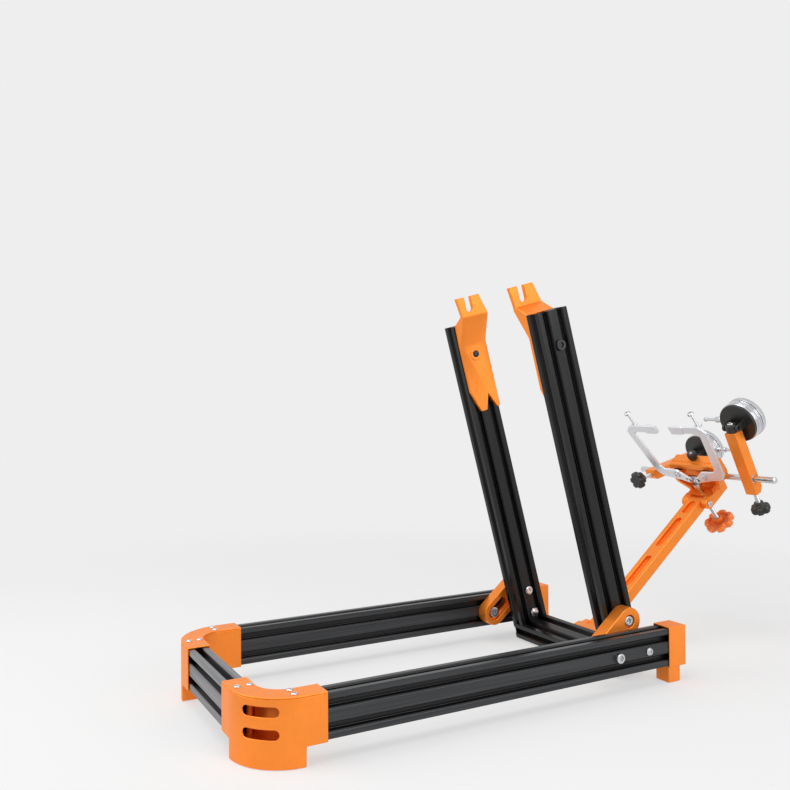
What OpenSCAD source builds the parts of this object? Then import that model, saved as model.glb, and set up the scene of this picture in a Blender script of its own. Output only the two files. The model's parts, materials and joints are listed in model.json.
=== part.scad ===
// Bicycle wheel truing stand: a slotted-extrusion base, two leaning uprights with
// reversible axle brackets, and a swing arm with a screw-driven caliper and two dial gauges.
// Frame: X across, +Y to the rear, +Z up, origin on the floor at the middle of the feet.

/* [Base frame] */
// Outside width over the two side rails
base_w = 256; // [230:1:300]
// Distance from the front rail's face to the end of the side rails
base_l = 497; // [440:1:560]
// Height of the rails' underside above the floor
rail_z = 18.5; // [12:0.5:30]
// How far the front rail's face lies ahead of the origin
base_front = 250; // [220:1:280]

/* [Slotted rail] */
// Short side of the rail section
rail_t = 20; // [20:1:24]
// Long side of the rail section
rail_h = 40; // [40:1:48]
// Width of a slot's mouth
slot_mouth = 9.2; // [8:0.1:10]
// Width of a slot's neck
slot_neck = 6.2; // [5:0.1:7]
// Width of the hollow behind the neck
slot_inner = 11; // [10:0.1:12]
// Thickness of the lips
slot_lip = 1.8; // [1.6:0.1:2.2]
// Depth of the slot
slot_depth = 6.1; // [5:0.1:6.3]
// Diameter of the bores along the rail
rail_bore_d = 4.2; // [3:0.1:5]

/* [Castings] */
// Wall thickness of castings and caps
cast_wall = 1.5; // [1.5:0.1:2.5]
// Length of a corner casting along each rail
cast_len = 72; // [66:1:90]
// Outer corner radius of a casting
cast_r = 52; // [46:1:58]
// Inner corner radius of a casting
cast_inner_r = 25; // [18:1:28]
// Gap between a rail and the inner wall that it slides past
sleeve_gap = 0.5; // [0.3:0.1:1]
// Thickness of the cover plate
cover_t = 1.7; // [1.5:0.1:2.5]
// Length of a window in the casting
window_l = 34; // [24:1:40]
// Height of a window in the casting
window_h = 8.5; // [6:0.5:10]
// Height of the upper window above the rail's underside
window_upper = 29.5; // [26:0.5:32]
// Height of the lower window above the rail's underside
window_lower = 10.5; // [8:0.5:13]
// Radial width of the casting's foot
foot_band = 24; // [18:1:28]
// Length of a rear end cap
cap_len = 24.8; // [20:0.2:32]
// How far the rear foot is stepped in behind
cap_foot_step = 7.5; // [5:0.5:10]
// Distance of the cover screws from the casting's outer face
screw_edge = 7.5; // [7:0.5:9]
// Distance between the two screws of a pair
screw_pitch = 11; // [10:0.5:12]
// Radius of a cover screw's shank
screw_r = 1.6; // [1.2:0.1:2]

/* [Uprights] */
// Distance of the tilt axis ahead of the side rails' rear end
tilt_back = 51; // [40:1:77]
// Lean of the uprights at rest, forward of vertical
lean = 15; // [5:1:20]
// Length of an upright above the tilt axis
upright_up = 378.5; // [330:0.5:430]
// Length of an upright below the tilt axis
upright_down = 12; // [10:0.5:14]
// Height of the brackets' bolts along the uprights
bracket_u = 340; // [300:1:390]
// Radius of the bolts at the pivots
bolt_r = 4; // [3:0.1:4.5]
// Radial running clearance around pins and bolts
fit_gap = 0.05; // [0.02:0.01:0.1]
// Gap between faces that turn past each other
face_gap = 0.2; // [0.1:0.05:0.4]

/* [Tilt links] */
// Distance of the link's pivot above the tilt axis along the upright
link_u = 29.4; // [28:0.2:34]
// Inclination of the link at rest
link_angle = 39; // [37:0.5:41]
// Distance between the link's two end centres
link_len = 47; // [46:0.5:52]
// Half width of the link
link_r = 15; // [13:0.5:16]
// Distance of the slot bolt ahead of the tilt axis
slot_lead = 44; // [42:0.5:46]
// Thickness of a link, between its upright and the side rail
link_t = 15.6; // [14:0.1:18]
// Nearest reach of the slot's middle line from the link's pivot
slot_near = 27; // [24:0.5:30]
// Farthest reach of the slot's middle line
slot_far = 47.5; // [47:0.5:49]
// Half width of the slot
slot_half = 5.4; // [5.2:0.1:6]
// Half width of the slot's wide step
step_half = 8.4; // [8:0.1:9]
// Depth of the slot's wide step
step_depth = 5; // [4:0.5:6]

/* [Axle brackets] */
// Thickness of the bracket's plate
bracket_t = 5; // [4:0.5:5]
// Distance between the two axle tabs
hub_gap = 100; // [98:1:104]
// Length from the bracket's bolt to either end
bracket_reach = 71; // [66:1:76]
// Half width of the bracket
bracket_half = 19; // [17:0.5:20]
// Width of the axle notch
axle_notch = 9.2; // [9:0.1:10.4]
// Depth of the axle notch
notch_depth = 18.6; // [14:0.2:20]
// Distance from the bracket's upper end to the lower end of its crank
crank_low = 57.5; // [50:0.5:60]
// Distance from the bracket's upper end to the upper end of its crank
crank_high = 26; // [24:0.5:32]

/* [Caliper arm] */
// Inclination of the arm at rest
arm_angle = 39.07; // [30:0.5:45]
// Distance between the arm's two pins
arm_len = 229.6; // [200:1:260]
// Width of the arm
arm_w = 22; // [20:0.5:24]
// Thickness of the arm
arm_t = 14; // [12:0.5:16]
// Distance of the arm's hinge behind the uprights' middle plane
hinge_b = 38; // [37:0.5:42]
// Radius of the arm's hinge pin
arm_pin_r = 4; // [3:0.1:5]
// Radius of the pin under the head
head_pin_r = 3; // [2.5:0.1:4]
// Width of the pockets in the arm
pocket_w = 10; // [8:0.5:12]
// Depth of the pockets in the arm
pocket_depth = 5; // [3:0.5:7]
// Gap between the arm and the ears beside it
ear_gap = 0.3; // [0.2:0.1:0.5]
// Thickness of the ears on the clevis block
clevis_ear = 8.7; // [7:0.1:10]

/* [Caliper head] */
// Width of the head's bar
head_w = 76; // [70:1:80]
// Thickness of the head's wall and bar
head_t = 13; // [12:0.5:16]
// Distance of the head's wall from the pin
head_a = 26; // [25:0.5:28]
// Height of the bar's top above the arm's middle plane
head_top = 49; // [47:0.5:52]
// Depth of the bar
bar_h = 10; // [8:0.5:12]
// Width over the head's ears
ears_w = 41; // [40:0.5:48]
// Height of the cross rod above the arm's middle plane
rod_b = 21; // [19:0.5:23]
// Radius of the cross rod
rod_r = 4; // [3.5:0.1:4.5]
// Length of the cross rod
rod_len = 222; // [218:1:260]
// Distance of the adjusting screw from the pin
screw_a = 14.4; // [14:0.1:15]
// Radius of the adjusting screw
adj_r = 3; // [2.5:0.1:3.2]
// Lower end of the adjusting screw
adj_bottom = -52.5; // [-60:0.5:-48]
// Radius of the orange knob
knob_r = 20; // [17:0.5:24]
// Thickness of the orange knob
knob_h = 10; // [8:0.5:12]
// Lobes around the orange knob
knob_lobes = 7; // [5:1:8]
// Radius of the small black knob
small_knob_r = 6.25; // [5:0.25:8]
// Height of the small black knob
small_knob_h = 9.5; // [8:0.5:14]

/* [Jaws] */
// Distance of a jaw's pivot from the middle plane
jaw_x = 23; // [22:0.5:24]
// Height of a jaw's pivot above the arm's middle plane
jaw_b = 35; // [34:0.5:36]
// Thickness of a jaw
jaw_t = 3; // [2.5:0.1:3]
// Reach of a jaw's outer edge from the middle plane
jaw_out = 57; // [55:0.5:62]
// How far a jaw's upright stretch leans outward over its height
jaw_splay = 10; // [0:1:14]
// Height of a jaw's top edge
jaw_top = 120; // [105:1:130]
// Width of a jaw's upright stretch
jaw_leg = 12; // [10:0.5:14]
// Gap between the two jaw tips
jaw_gap = 24; // [20:1:30]
// Radius of a jaw's pivot bolt
jaw_bolt_r = 3; // [2.5:0.1:3.5]
// Distance of the driving pin from the middle plane
drive_x = 7; // [6.8:0.1:7.4]
// Height of the driving pin above the arm's middle plane
drive_b = 27; // [26.5:0.1:27.5]
// Radius of the driving pin
drive_r = 1.3; // [1:0.1:1.5]
// Clearance of the driving pin across its slot
drive_gap = 0.75; // [0.7:0.05:0.9]
// Height of a gauge screw above the jaw
gauge_h = 18; // [12:1:24]

/* [Dial arms] */
// Position of the right arm along the cross rod
right_arm_x = 73; // [66:1:78]
// Position of the left arm along the cross rod
left_arm_x = -76; // [-80:1:-72]
// Turn of the right arm about the rod, from the head's upright axis
right_turn = -12.3; // [-60:0.1:-5]
// Turn of the left arm about the rod, from the head's upright axis
left_turn = -114.2; // [-120:0.1:-40]
// Width of a dial arm
dial_arm_w = 16; // [14:0.5:18]
// Thickness of a dial arm
dial_arm_t = 14; // [13:0.5:16]
// Reach of a dial arm above the rod
dial_arm_up = 67; // [56:1:80]
// Reach of a dial arm below the rod
dial_arm_down = 20.5; // [16:0.5:26]
// Depth of the collar's screw in the arm's end
collar_depth = 11; // [9:0.5:14]
// Wall of the bush between rod and arm
bush_wall = 1.5; // [1:0.1:1.8]
// Radius of the black star knob
star_r = 12; // [10:0.5:14]
// Height of the black star knob
star_h = 12; // [9:0.5:14]
// Length of the bare stud above the star knob
stud_len = 17; // [10:0.5:20]

/* [Dial gauges] */
// Radius of a dial gauge
dial_r = 26.5; // [24:0.5:30]
// Swivel pin's distance above the arm's end
swivel_up = 5; // [4.5:0.5:7]
// Distance from the swivel pin to the gauge's back
dial_back_y = 11.5; // [11:0.5:15]
// Thickness of the black back disc
dial_back_t = 3; // [2:0.5:4]
// Thickness of the gauge's case
dial_case_t = 12; // [10:0.5:14]
// Thickness of the turning bezel
bezel_t = 7; // [6:0.5:8]
// Turn of the left gauge on its swivel
left_swivel = 101.9; // [0:0.1:110]
// Travel of the plunger
plunger_travel = 10; // [5:0.5:12]
// Length of the plunger's stem
stem_len = 13; // [10:0.5:16]
// Length of the plunger outside the stem at rest
plunger_out = 20; // [16:0.5:24]
// Length of the plunger inside the stem and the case at rest
plunger_in = 24; // [20:0.5:28]

/* [Hidden] */
$fn = 48;

orange = [0.93, 0.50, 0.13];
black = [0.13, 0.13, 0.14];
steel = [0.78, 0.78, 0.80];

over = 1;                                        // how far a cutting shape passes its face
rail_top = rail_z + rail_h;
rail_mid = rail_z + rail_h / 2;
half_w = base_w / 2;                             // outer face of a side rail
rail_in = half_w - rail_t;                       // inner face of a side rail
front_y = -base_front;
rear_y = front_y + base_l;
cast_x = half_w + cast_wall;                     // outer face of a casting
cast_y = front_y - cast_wall;
arc_x = cast_x - cast_r;                         // centre of the casting's outer arc
arc_y = cast_y + cast_r;
cast_top = rail_top + 0.3;                       // top edge of castings, under the covers
cast_bottom = rail_z - cast_wall;
cast_in = rail_t + sleeve_gap + 2 * cast_wall;   // width of the casting's band
cover_top = cast_top + cover_t;
boss_r = screw_r * 2;
link_out = rail_in - face_gap;
link_in = link_out - link_t;
upright_out = link_in - face_gap;
upright_in = upright_out - rail_t;               // inner face of an upright
pivot_y = rear_y - tilt_back;
slot_bolt_at = pivot_y - slot_lead;
tab_in = hub_gap / 2;
clevis_u = -upright_down - rail_t / 2;           // middle of the rear rail
ear_r = arm_t / 2 + 1;
arm_half = arm_w / 2;
head_mid = head_a + head_t / 2;
rod_slide_r = rod_r + fit_gap;
bush_r = rod_slide_r + bush_wall;
jaw_back = screw_a + jaw_t / 2;
jaw_front = screw_a - jaw_t / 2;
jaw_lobe = jaw_bolt_r + 5;
gauge_x = jaw_out + jaw_splay - jaw_leg - 1;       // gauge screw on the jaw's bend
lever_x = jaw_x - drive_x;
lever_b = jaw_b - drive_b;
lever = sqrt(lever_x * lever_x + lever_b * lever_b);
lever_angle = atan2(lever_b, lever_x);
swivel_z = dial_arm_up + swivel_up;
swivel_pin_r = 2.5;
gauge_ear_in = dial_arm_w / 2 + 0.3;             // ears of a gauge, beside the arm
gauge_ear_out = gauge_ear_in + 3;
swivel_reach = gauge_ear_out + 0.7;
face_y = dial_back_y + dial_back_t + dial_case_t;
plunger_r = 2;
plunger_y = dial_back_y + dial_back_t + dial_case_t / 2 + 1;
plunger_inner = dial_r + stem_len - plunger_in;

// ---------------------------------------------------------------- frames and helpers

module left_side() { mirror([1, 0, 0]) children(); }

module both_sides() {
    children();
    left_side() children();
}

// Frame of the uprights: Y to the rear of them, Z up along them, origin on the tilt axis
module in_tilt() {
    translate([0, pivot_y, rail_mid]) rotate([lean, 0, 0]) children();
}

// Frame of the caliper arm: Y along it, Z square to it, origin on its hinge
module in_arm() {
    in_tilt() translate([0, hinge_b, clevis_u]) rotate([arm_angle - lean, 0, 0]) children();
}

// Frame of the caliper head: as the arm's, with its origin on the head's pin
module in_head() { in_arm() translate([0, arm_len, 0]) children(); }

// Frame of a dial arm: Z up along it, origin on the cross rod
module in_dial_arm(x, turn) {
    in_head() translate([x, head_mid, rod_b]) rotate([turn, 0, 0]) children();
}

// Frame of a gauge: Y square to its dial, origin on its swivel pin
module in_dial(x, turn, swivel) {
    in_dial_arm(x, turn) translate([0, 0, swivel_z]) rotate([swivel, 0, 0]) children();
}

// Cylinder along X from x0 to x1
module x_rod(x0, x1, r) {
    translate([x0, 0, 0]) rotate([0, 90, 0]) cylinder(h = x1 - x0, r = r);
}

// Cylinder along Y from y0 to y1
module y_rod(y0, y1, r) {
    translate([0, y0, 0]) rotate([-90, 0, 0]) cylinder(h = y1 - y0, r = r);
}

// Flat shape in Y and Z, extruded along X from x0 to x1
module slab_x(x0, x1) {
    translate([x0, 0, 0]) rotate([90, 0, 90]) linear_extrude(x1 - x0) children();
}

// Flat shape in X and Z, extruded along Y from y0 to y1
module slab_y(y0, y1) {
    translate([0, y1, 0]) rotate([90, 0, 0]) linear_extrude(y1 - y0) children();
}

// Slot with round ends, len from centre to centre, along the flat X axis
module obround(len, r) {
    circle(r = r);
    translate([len, 0]) circle(r = r);
    translate([0, -r]) square([len, 2 * r]);
}

// ---------------------------------------------------------------- slotted rail

// One slot, opening towards +Y of the flat shape, with its mouth on y = 0
module slot_cut() {
    vee = (slot_mouth - slot_neck) / 2;
    root = slot_neck / 2 - 0.25;
    polygon([
        [-slot_mouth / 2, over], [-slot_mouth / 2, 0], [-slot_neck / 2, -vee],
        [-slot_neck / 2, -slot_lip], [-slot_inner / 2, -slot_lip],
        [-slot_inner / 2, -slot_lip - 0.5], [-root, -slot_depth],
        [root, -slot_depth], [slot_inner / 2, -slot_lip - 0.5],
        [slot_inner / 2, -slot_lip], [slot_neck / 2, -slot_lip],
        [slot_neck / 2, -vee], [slot_mouth / 2, 0], [slot_mouth / 2, over],
    ]);
}

// Section of the rail, rail_t along the flat X and rail_h along the flat Y
module rail_section() {
    cell = rail_h / 4;
    difference() {
        square([rail_t, rail_h], center = true);
        for (side = [0, 180]) {
            rotate(side) translate([0, rail_h / 2]) slot_cut();
            for (row = [-cell, cell])
                rotate(side + 90) translate([row, rail_t / 2]) slot_cut();
        }
        for (row = [-cell, cell])
            translate([0, row]) circle(d = rail_bore_d);
    }
}

// ---------------------------------------------------------------- base frame

module side_rail() {
    start = arc_y + 1.5;
    color(black) difference() {
        translate([half_w - rail_t / 2, rear_y, rail_mid]) rotate([90, 0, 0])
            linear_extrude(rear_y - start) rail_section();
        for (y = [pivot_y, slot_bolt_at])
            translate([0, y, rail_mid]) x_rod(rail_in - over, half_w + over, bolt_r);
    }
}

module side_rail_right() { side_rail(); }

module side_rail_left() { left_side() side_rail(); }

module front_rail() {
    half = arc_x - 1.5;
    color([0.55, 0.55, 0.57]) translate([-half, front_y + rail_t / 2, rail_mid])
        rotate([90, 0, 90]) linear_extrude(2 * half) rail_section();
}

// Plan of the casting's curved band, drawn in from its outer faces by inset
module cast_plan(inset, reach) {
    outer = cast_r - inset;
    inner_x = cast_x - cast_in + inset;
    inner_y = cast_y + cast_in - inset;
    inner_r = cast_inner_r + inset;
    end_y = cast_y + cast_len + reach;
    end_x = cast_x - cast_len - reach;
    difference() {
        union() {
            intersection() {
                translate([arc_x, arc_y]) circle(r = outer, $fn = 96);
                translate([arc_x, arc_y - outer]) square([outer, outer]);
            }
            translate([end_x, arc_y - outer])
                square([arc_x - end_x, inner_y - arc_y + outer]);
            translate([inner_x, arc_y]) square([arc_x + outer - inner_x, end_y - arc_y]);
        }
        translate([end_x - over, inner_y + inner_r])
            square([inner_x - end_x + over, end_y - inner_y]);
        translate([end_x - over, inner_y])
            square([inner_x - inner_r - end_x + over, inner_r + over]);
        intersection() {
            translate([inner_x - inner_r, inner_y + inner_r]) circle(r = inner_r);
            translate([inner_x - inner_r - over, inner_y])
                square([inner_r + over, inner_r + over]);
        }
    }
}

// Places of the four cover screws of a casting
screw_spots = [
    [cast_x - screw_edge, arc_y - 8],
    [cast_x - screw_edge - screw_pitch, arc_y - 8],
    [arc_x + 3, cast_y + screw_edge],
    [arc_x + 3, cast_y + screw_edge + screw_pitch],
];

module corner_casting() {
    color(orange) difference() {
        union() {
            difference() {
                translate([0, 0, cast_bottom])
                    linear_extrude(cast_top - cast_bottom) cast_plan(0, 0);
                translate([0, 0, rail_z - 0.3])
                    linear_extrude(rail_h + over + 1) cast_plan(cast_wall, over);
                for (height = [window_upper, window_lower])
                    translate([arc_x, arc_y, rail_z + height]) rotate([0, 0, 45])
                        translate([(window_h - window_l) / 2, -cast_r + 12, 0])
                            rotate([90, 0, 0]) linear_extrude(12 + over)
                                obround(window_l - window_h, window_h / 2);
            }
            intersection() {
                for (spot = screw_spots)
                    translate([spot[0], spot[1], cast_bottom])
                        cylinder(h = cast_top - cast_bottom, r = boss_r);
                translate([0, 0, cast_bottom])
                    linear_extrude(cast_top - cast_bottom) cast_plan(0, 0);
            }
            linear_extrude(cast_bottom + 0.5) intersection() {
                difference() {
                    translate([arc_x, arc_y]) circle(r = cast_r, $fn = 96);
                    translate([arc_x, arc_y]) circle(r = cast_r - foot_band);
                }
                translate([arc_x + 1.5, arc_y - cast_r]) square([cast_r, cast_r]);
            }
        }
        for (spot = screw_spots)
            translate([spot[0], spot[1], cast_top - 9]) cylinder(h = 9 + over, r = screw_r);
    }
}

module corner_casting_right() { corner_casting(); }

module corner_casting_left() { left_side() corner_casting(); }

module corner_cover() {
    color(orange) difference() {
        translate([0, 0, cast_top]) linear_extrude(cover_t) cast_plan(0, 0);
        for (spot = screw_spots)
            translate([spot[0], spot[1], cast_top - over])
                cylinder(h = cover_t + 2 * over, r = screw_r);
    }
}

module corner_cover_right() { corner_cover(); }

module corner_cover_left() { left_side() corner_cover(); }

// Button-head screw with a hexagon socket, pointing down from z = 0
module button_screw(r, len) {
    difference() {
        union() {
            cylinder(h = 0.8, r = 1.9 * r);
            translate([0, 0, 0.8]) cylinder(h = 0.9, r1 = 1.9 * r, r2 = 1.1 * r);
            translate([0, 0, -len]) cylinder(h = len + 0.4, r = r);
        }
        translate([0, 0, 0.7]) cylinder(h = 2, r = 0.7 * r, $fn = 6);
    }
}

module corner_screws() {
    color(steel) both_sides() {
        for (spot = screw_spots)
            translate([spot[0], spot[1], cover_top]) button_screw(screw_r, 9);
    }
}

module rear_cap() {
    start = rear_y - cap_len + 2 + cast_wall / 2;
    stop = rear_y + cast_wall + 1.1;
    inner = cast_x - cast_in;
    color(orange) union() {
        difference() {
            translate([inner, start, cast_bottom])
                cube([cast_in, stop - start, cover_top - cast_bottom]);
            translate([inner + cast_wall, start - over, rail_z - 0.3])
                cube([cast_in - 2 * cast_wall, rear_y - start + over + 0.6, rail_h + 0.6]);
        }
        translate([inner + 3.5, start, 0])
            cube([cast_in - 5, stop - start - cap_foot_step, cast_bottom + 0.5]);
    }
}

module rear_cap_right() { rear_cap(); }

module rear_cap_left() { left_side() rear_cap(); }

// Pivot bolt of the uprights: head outside the rail, collar in the gap, nut inside
module tilt_bolts() {
    color(steel) both_sides() translate([0, pivot_y, rail_mid]) difference() {
        union() {
            x_rod(half_w, half_w + 1.4, bolt_r * 1.08);
            translate([half_w + 1.4, 0, 0]) rotate([0, 90, 0])
                cylinder(h = 1.4, r1 = bolt_r * 1.08, r2 = bolt_r * 0.7);
            x_rod(upright_in - 5, half_w + 0.5, bolt_r - fit_gap);
            x_rod(link_in, link_out, bolt_r + 3.5);
            x_rod(upright_in - 4.5, upright_in - face_gap, bolt_r + 2);
        }
        translate([half_w + 1, 0, 0]) rotate([0, 90, 0]) cylinder(h = 3, r = 2.2, $fn = 6);
    }
}

// Bolt that the link's slot rides on: cap head outside the rail, nut in the slot's step
module slot_bolts() {
    color(steel) both_sides() translate([0, slot_bolt_at, rail_mid]) difference() {
        union() {
            x_rod(half_w, half_w + 5, bolt_r + 1.25);
            x_rod(link_in + 0.8, half_w + 0.5, bolt_r - fit_gap);
            x_rod(link_in + 0.8, link_in + 3.8, bolt_r + 2.4);
        }
        translate([half_w + 2.5, 0, 0]) rotate([0, 90, 0]) cylinder(h = 3, r = 3.2, $fn = 6);
    }
}

// ---------------------------------------------------------------- uprights

module upright() {
    color(black) in_tilt() difference() {
        translate([upright_in + rail_t / 2, 0, -upright_down])
            linear_extrude(upright_up + upright_down) rail_section();
        for (u = [0, link_u, bracket_u])
            translate([0, 0, u]) x_rod(upright_in - over, upright_out + over, bolt_r);
    }
}

module upright_right() { upright(); }

module upright_left() { left_side() upright(); }

module rear_rail() {
    color(black) in_tilt() translate([-upright_out, 0, clevis_u]) rotate([90, 90, 90])
        linear_extrude(2 * upright_out) rail_section();
}

module link_bolts() {
    head_floor = link_out - 4.2;
    color(steel) both_sides() in_tilt() translate([0, 0, link_u]) difference() {
        union() {
            x_rod(head_floor, link_out - 0.6, bolt_r + 1.8);
            x_rod(upright_in - 1, head_floor + 0.5, bolt_r - fit_gap);
            x_rod(upright_in - 3.6, upright_in, bolt_r + 1.2);
        }
        translate([link_out - 3, 0, 0]) rotate([0, 90, 0]) cylinder(h = 3, r = 2.6, $fn = 6);
        translate([upright_in - 4.6, 0, 0]) rotate([0, 90, 0])
            cylinder(h = 2.6, r = 2.6, $fn = 6);
    }
}

module bracket_bolts() {
    color(black) both_sides() in_tilt() translate([0, 0, bracket_u]) difference() {
        union() {
            x_rod(upright_out, upright_out + 3.4, bolt_r + 2);
            x_rod(upright_in - bracket_t - 2.2, upright_out + 0.5, bolt_r - fit_gap);
        }
        translate([upright_out + 1.4, 0, 0]) rotate([0, 90, 0])
            cylinder(h = 3, r = 3, $fn = 6);
    }
}

module clevis_block() {
    inner = arm_half + ear_gap;
    outer = inner + clevis_ear;
    base = hinge_b - arm_t / 2 - 1 - rail_h / 2;
    color(orange) in_tilt() difference() {
        union() {
            translate([-outer, rail_h / 2, clevis_u - rail_t / 2])
                cube([2 * outer, base, rail_t]);
            both_sides() slab_x(inner, outer) {
                translate([hinge_b, clevis_u]) circle(r = ear_r);
                translate([rail_h / 2 + base / 2, clevis_u - ear_r])
                    square([hinge_b - rail_h / 2 - base / 2, 2 * ear_r]);
            }
        }
        translate([0, hinge_b, clevis_u]) x_rod(-outer - over, outer + over, arm_pin_r);
    }
}

module arm_pin() {
    reach = arm_half + ear_gap + clevis_ear;
    color(steel) in_arm() union() {
        x_rod(-reach - 1, reach + 1, arm_pin_r - fit_gap);
        both_sides() x_rod(reach, reach + 2, arm_pin_r + 2);
    }
}

module tilt_link() {
    color(orange) in_tilt() translate([0, 0, link_u])
        rotate([link_angle - lean, 0, 0]) difference() {
            slab_x(link_in, link_out) translate([-link_len, 0]) obround(link_len, link_r);
            x_rod(link_in - over, link_out + over, bolt_r);
            x_rod(link_out - 4.2, link_out + over, bolt_r + 3);
            slab_x(link_in - over, link_out + over)
                translate([-slot_far, 0]) obround(slot_far - slot_near, slot_half);
            slab_x(link_in - over, link_in + step_depth)
                translate([-slot_far, 0]) obround(slot_far - slot_near, step_half);
        }
}

module link_right() { tilt_link(); }

module link_left() { left_side() tilt_link(); }

// ---------------------------------------------------------------- axle brackets

module axle_bracket() {
    plate_in = upright_in - bracket_t;
    plate_out = upright_in - 0.1;
    tab_out = tab_in + bracket_t;
    top = bracket_reach;
    fold_low = bracket_reach - crank_low;
    fold_high = bracket_reach - crank_high;
    notch_r = axle_notch / 2;
    color(orange) in_tilt() translate([0, 0, bracket_u]) difference() {
        union() {
            intersection() {
                slab_y(-40, 40) polygon([
                    [plate_out, -top - over], [plate_in, -top - over], [plate_in, fold_low],
                    [tab_in, fold_high], [tab_in, top + over], [tab_out, top + over],
                    [tab_out, fold_high + 3.6], [plate_out, upright_up - bracket_u],
                ]);
                slab_x(tab_in - over, upright_in + over) polygon([
                    [-bracket_half, fold_low], [-bracket_half + 1, top - 22.4],
                    [-bracket_half - 2, top], [bracket_half - 7, top],
                    [bracket_half, top - 22.4], [bracket_half, -top + 0.5],
                    [bracket_half - 4.5, -top + 0.5], [5.5, -top + 19.5], [-1, -top],
                    [-9.5, -top], [-14, -top + 10.5], [-bracket_half, -top + 26.7],
                ]);
            }
            x_rod(plate_in - 1, plate_in + 0.5, 2 * bolt_r);
        }
        x_rod(tab_in - over, upright_in + over, bolt_r);
        slab_x(tab_in - over, tab_out + over)
            translate([-5.1, top - notch_depth + notch_r]) rotate(90) obround(30, notch_r);
    }
}

module axle_bracket_right() { axle_bracket(); }

module axle_bracket_left() { left_side() axle_bracket(); }

// ---------------------------------------------------------------- caliper arm

// Pockets along the arm: start and end, counted back from the head's pin
arm_pockets = [[-160, -108], [-90, -37], [-28, -5]];

module caliper_arm() {
    pocket_r = pocket_w / 2;
    color(orange) in_arm() difference() {
        slab_x(-arm_half, arm_half) obround(arm_len, arm_t / 2);
        x_rod(-arm_half - over, arm_half + over, arm_pin_r);
        translate([0, arm_len, 0]) x_rod(-arm_half - over, arm_half + over, head_pin_r);
        for (pocket = arm_pockets)
            translate([0, arm_len + pocket[0] + pocket_r, arm_t / 2 - pocket_depth])
                rotate([0, 0, 90]) linear_extrude(pocket_depth + over)
                    obround(pocket[1] - pocket[0] - pocket_w, pocket_r);
    }
}

module head_pin() {
    reach = ears_w / 2;
    color(steel) in_head() union() {
        x_rod(-reach, reach, head_pin_r - fit_gap);
        both_sides() x_rod(reach, reach + 1.6, head_pin_r + 1);
    }
}

// ---------------------------------------------------------------- caliper head

module caliper_head() {
    half = head_w / 2;
    ear = ears_w / 2;
    inner = arm_half + ear_gap;
    block_a = arm_t / 2 + 1.5;
    wall_end = head_a + head_t;
    bar_low = head_top - bar_h;
    block_low = -arm_t / 2;
    color(orange) in_head() difference() {
        union() {
            slab_y(head_a, wall_end) polygon([
                [-ear, block_low], [ear, block_low], [ear + 2, 7], [half - 3, 18],
                [half, 27], [half, head_top - 4], [half - 4, head_top],
                [-half + 4, head_top], [-half, head_top - 4], [-half, 27],
                [-half + 3, 18], [-ear - 2, 7],
            ]);
            translate([-ear, block_a, block_low])
                cube([2 * ear, head_a - block_a + 0.5, 5.5 - block_low]);
            both_sides() {
                slab_x(inner, ear) {
                    circle(r = arm_t / 2);
                    translate([0, -arm_t / 2]) square([block_a + 0.5, arm_t]);
                }
                slab_y(head_a - 9, head_a + 0.5) polygon([
                    [ear - 4, 5], [ear + 1, 5], [ear + 2, 7], [half - 3, 18], [half, 27],
                    [half - 5, 27], [half - 7.5, 20], [ear - 4, 9],
                ]);
            }
            slab_y(head_a - 6, head_a + 0.5) polygon([
                [-half + 1, bar_low + 1], [half - 1, bar_low + 1], [half - 1, head_top - 4.5],
                [half - 5, head_top - 1], [-half + 5, head_top - 1],
                [-half + 1, head_top - 4.5],
            ]);
            both_sides() translate([jaw_x, 0, jaw_b])
                y_rod(jaw_back + 0.1, head_a + 0.5, jaw_bolt_r + 2);
        }
        translate([0, screw_a, block_low - over]) cylinder(h = 16, r = adj_r + fit_gap);
        x_rod(-ear - over, ear + over, head_pin_r);
        translate([0, head_mid, rod_b]) x_rod(-half - over, half + over, rod_slide_r);
        translate([0, head_mid, rod_b])
            cylinder(h = head_top - rod_b + over, r = screw_r * 2);
        both_sides() translate([jaw_x, 0, jaw_b])
            y_rod(jaw_back - over, head_a + 5, jaw_bolt_r);
    }
}

// Pivot bolts of the jaws, with star sockets in their heads
module jaw_bolts() {
    color(steel) in_head() both_sides() translate([jaw_x, 0, jaw_b]) difference() {
        union() {
            y_rod(jaw_front - 1.5, jaw_front - 0.15, jaw_bolt_r + 1.6);
            y_rod(jaw_front - 1.5, head_a + 4.5, jaw_bolt_r - fit_gap);
        }
        translate([0, jaw_front - 2.5, 0]) rotate([-90, 0, 0])
            cylinder(h = 2, r = 1.8, $fn = 6);
    }
}

module screw_bushing() {
    color(steel) in_head() translate([0, screw_a, -arm_t / 2 - 11]) difference() {
        union() {
            cylinder(h = 11, r = adj_r + 2.2);
            translate([0, 0, 5.5]) rotate([0, 0, -40]) x_rod(0, adj_r + 2.8, 2);
        }
        translate([0, 0, -over]) cylinder(h = 11 + 2 * over, r = adj_r + fit_gap);
    }
}

module rod_clamp_knob() {
    color(black) in_head() translate([0, head_mid, 0]) union() {
        translate([0, 0, head_top + 0.3]) cylinder(h = 1.7, r = small_knob_r - 1.2);
        translate([0, 0, head_top + 2]) cylinder(h = small_knob_h - 1.5, r = small_knob_r);
        translate([0, 0, rod_b + rod_r + 0.3])
            cylinder(h = head_top - rod_b - rod_r + 2, r = screw_r * 2 - fit_gap);
    }
}

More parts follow.
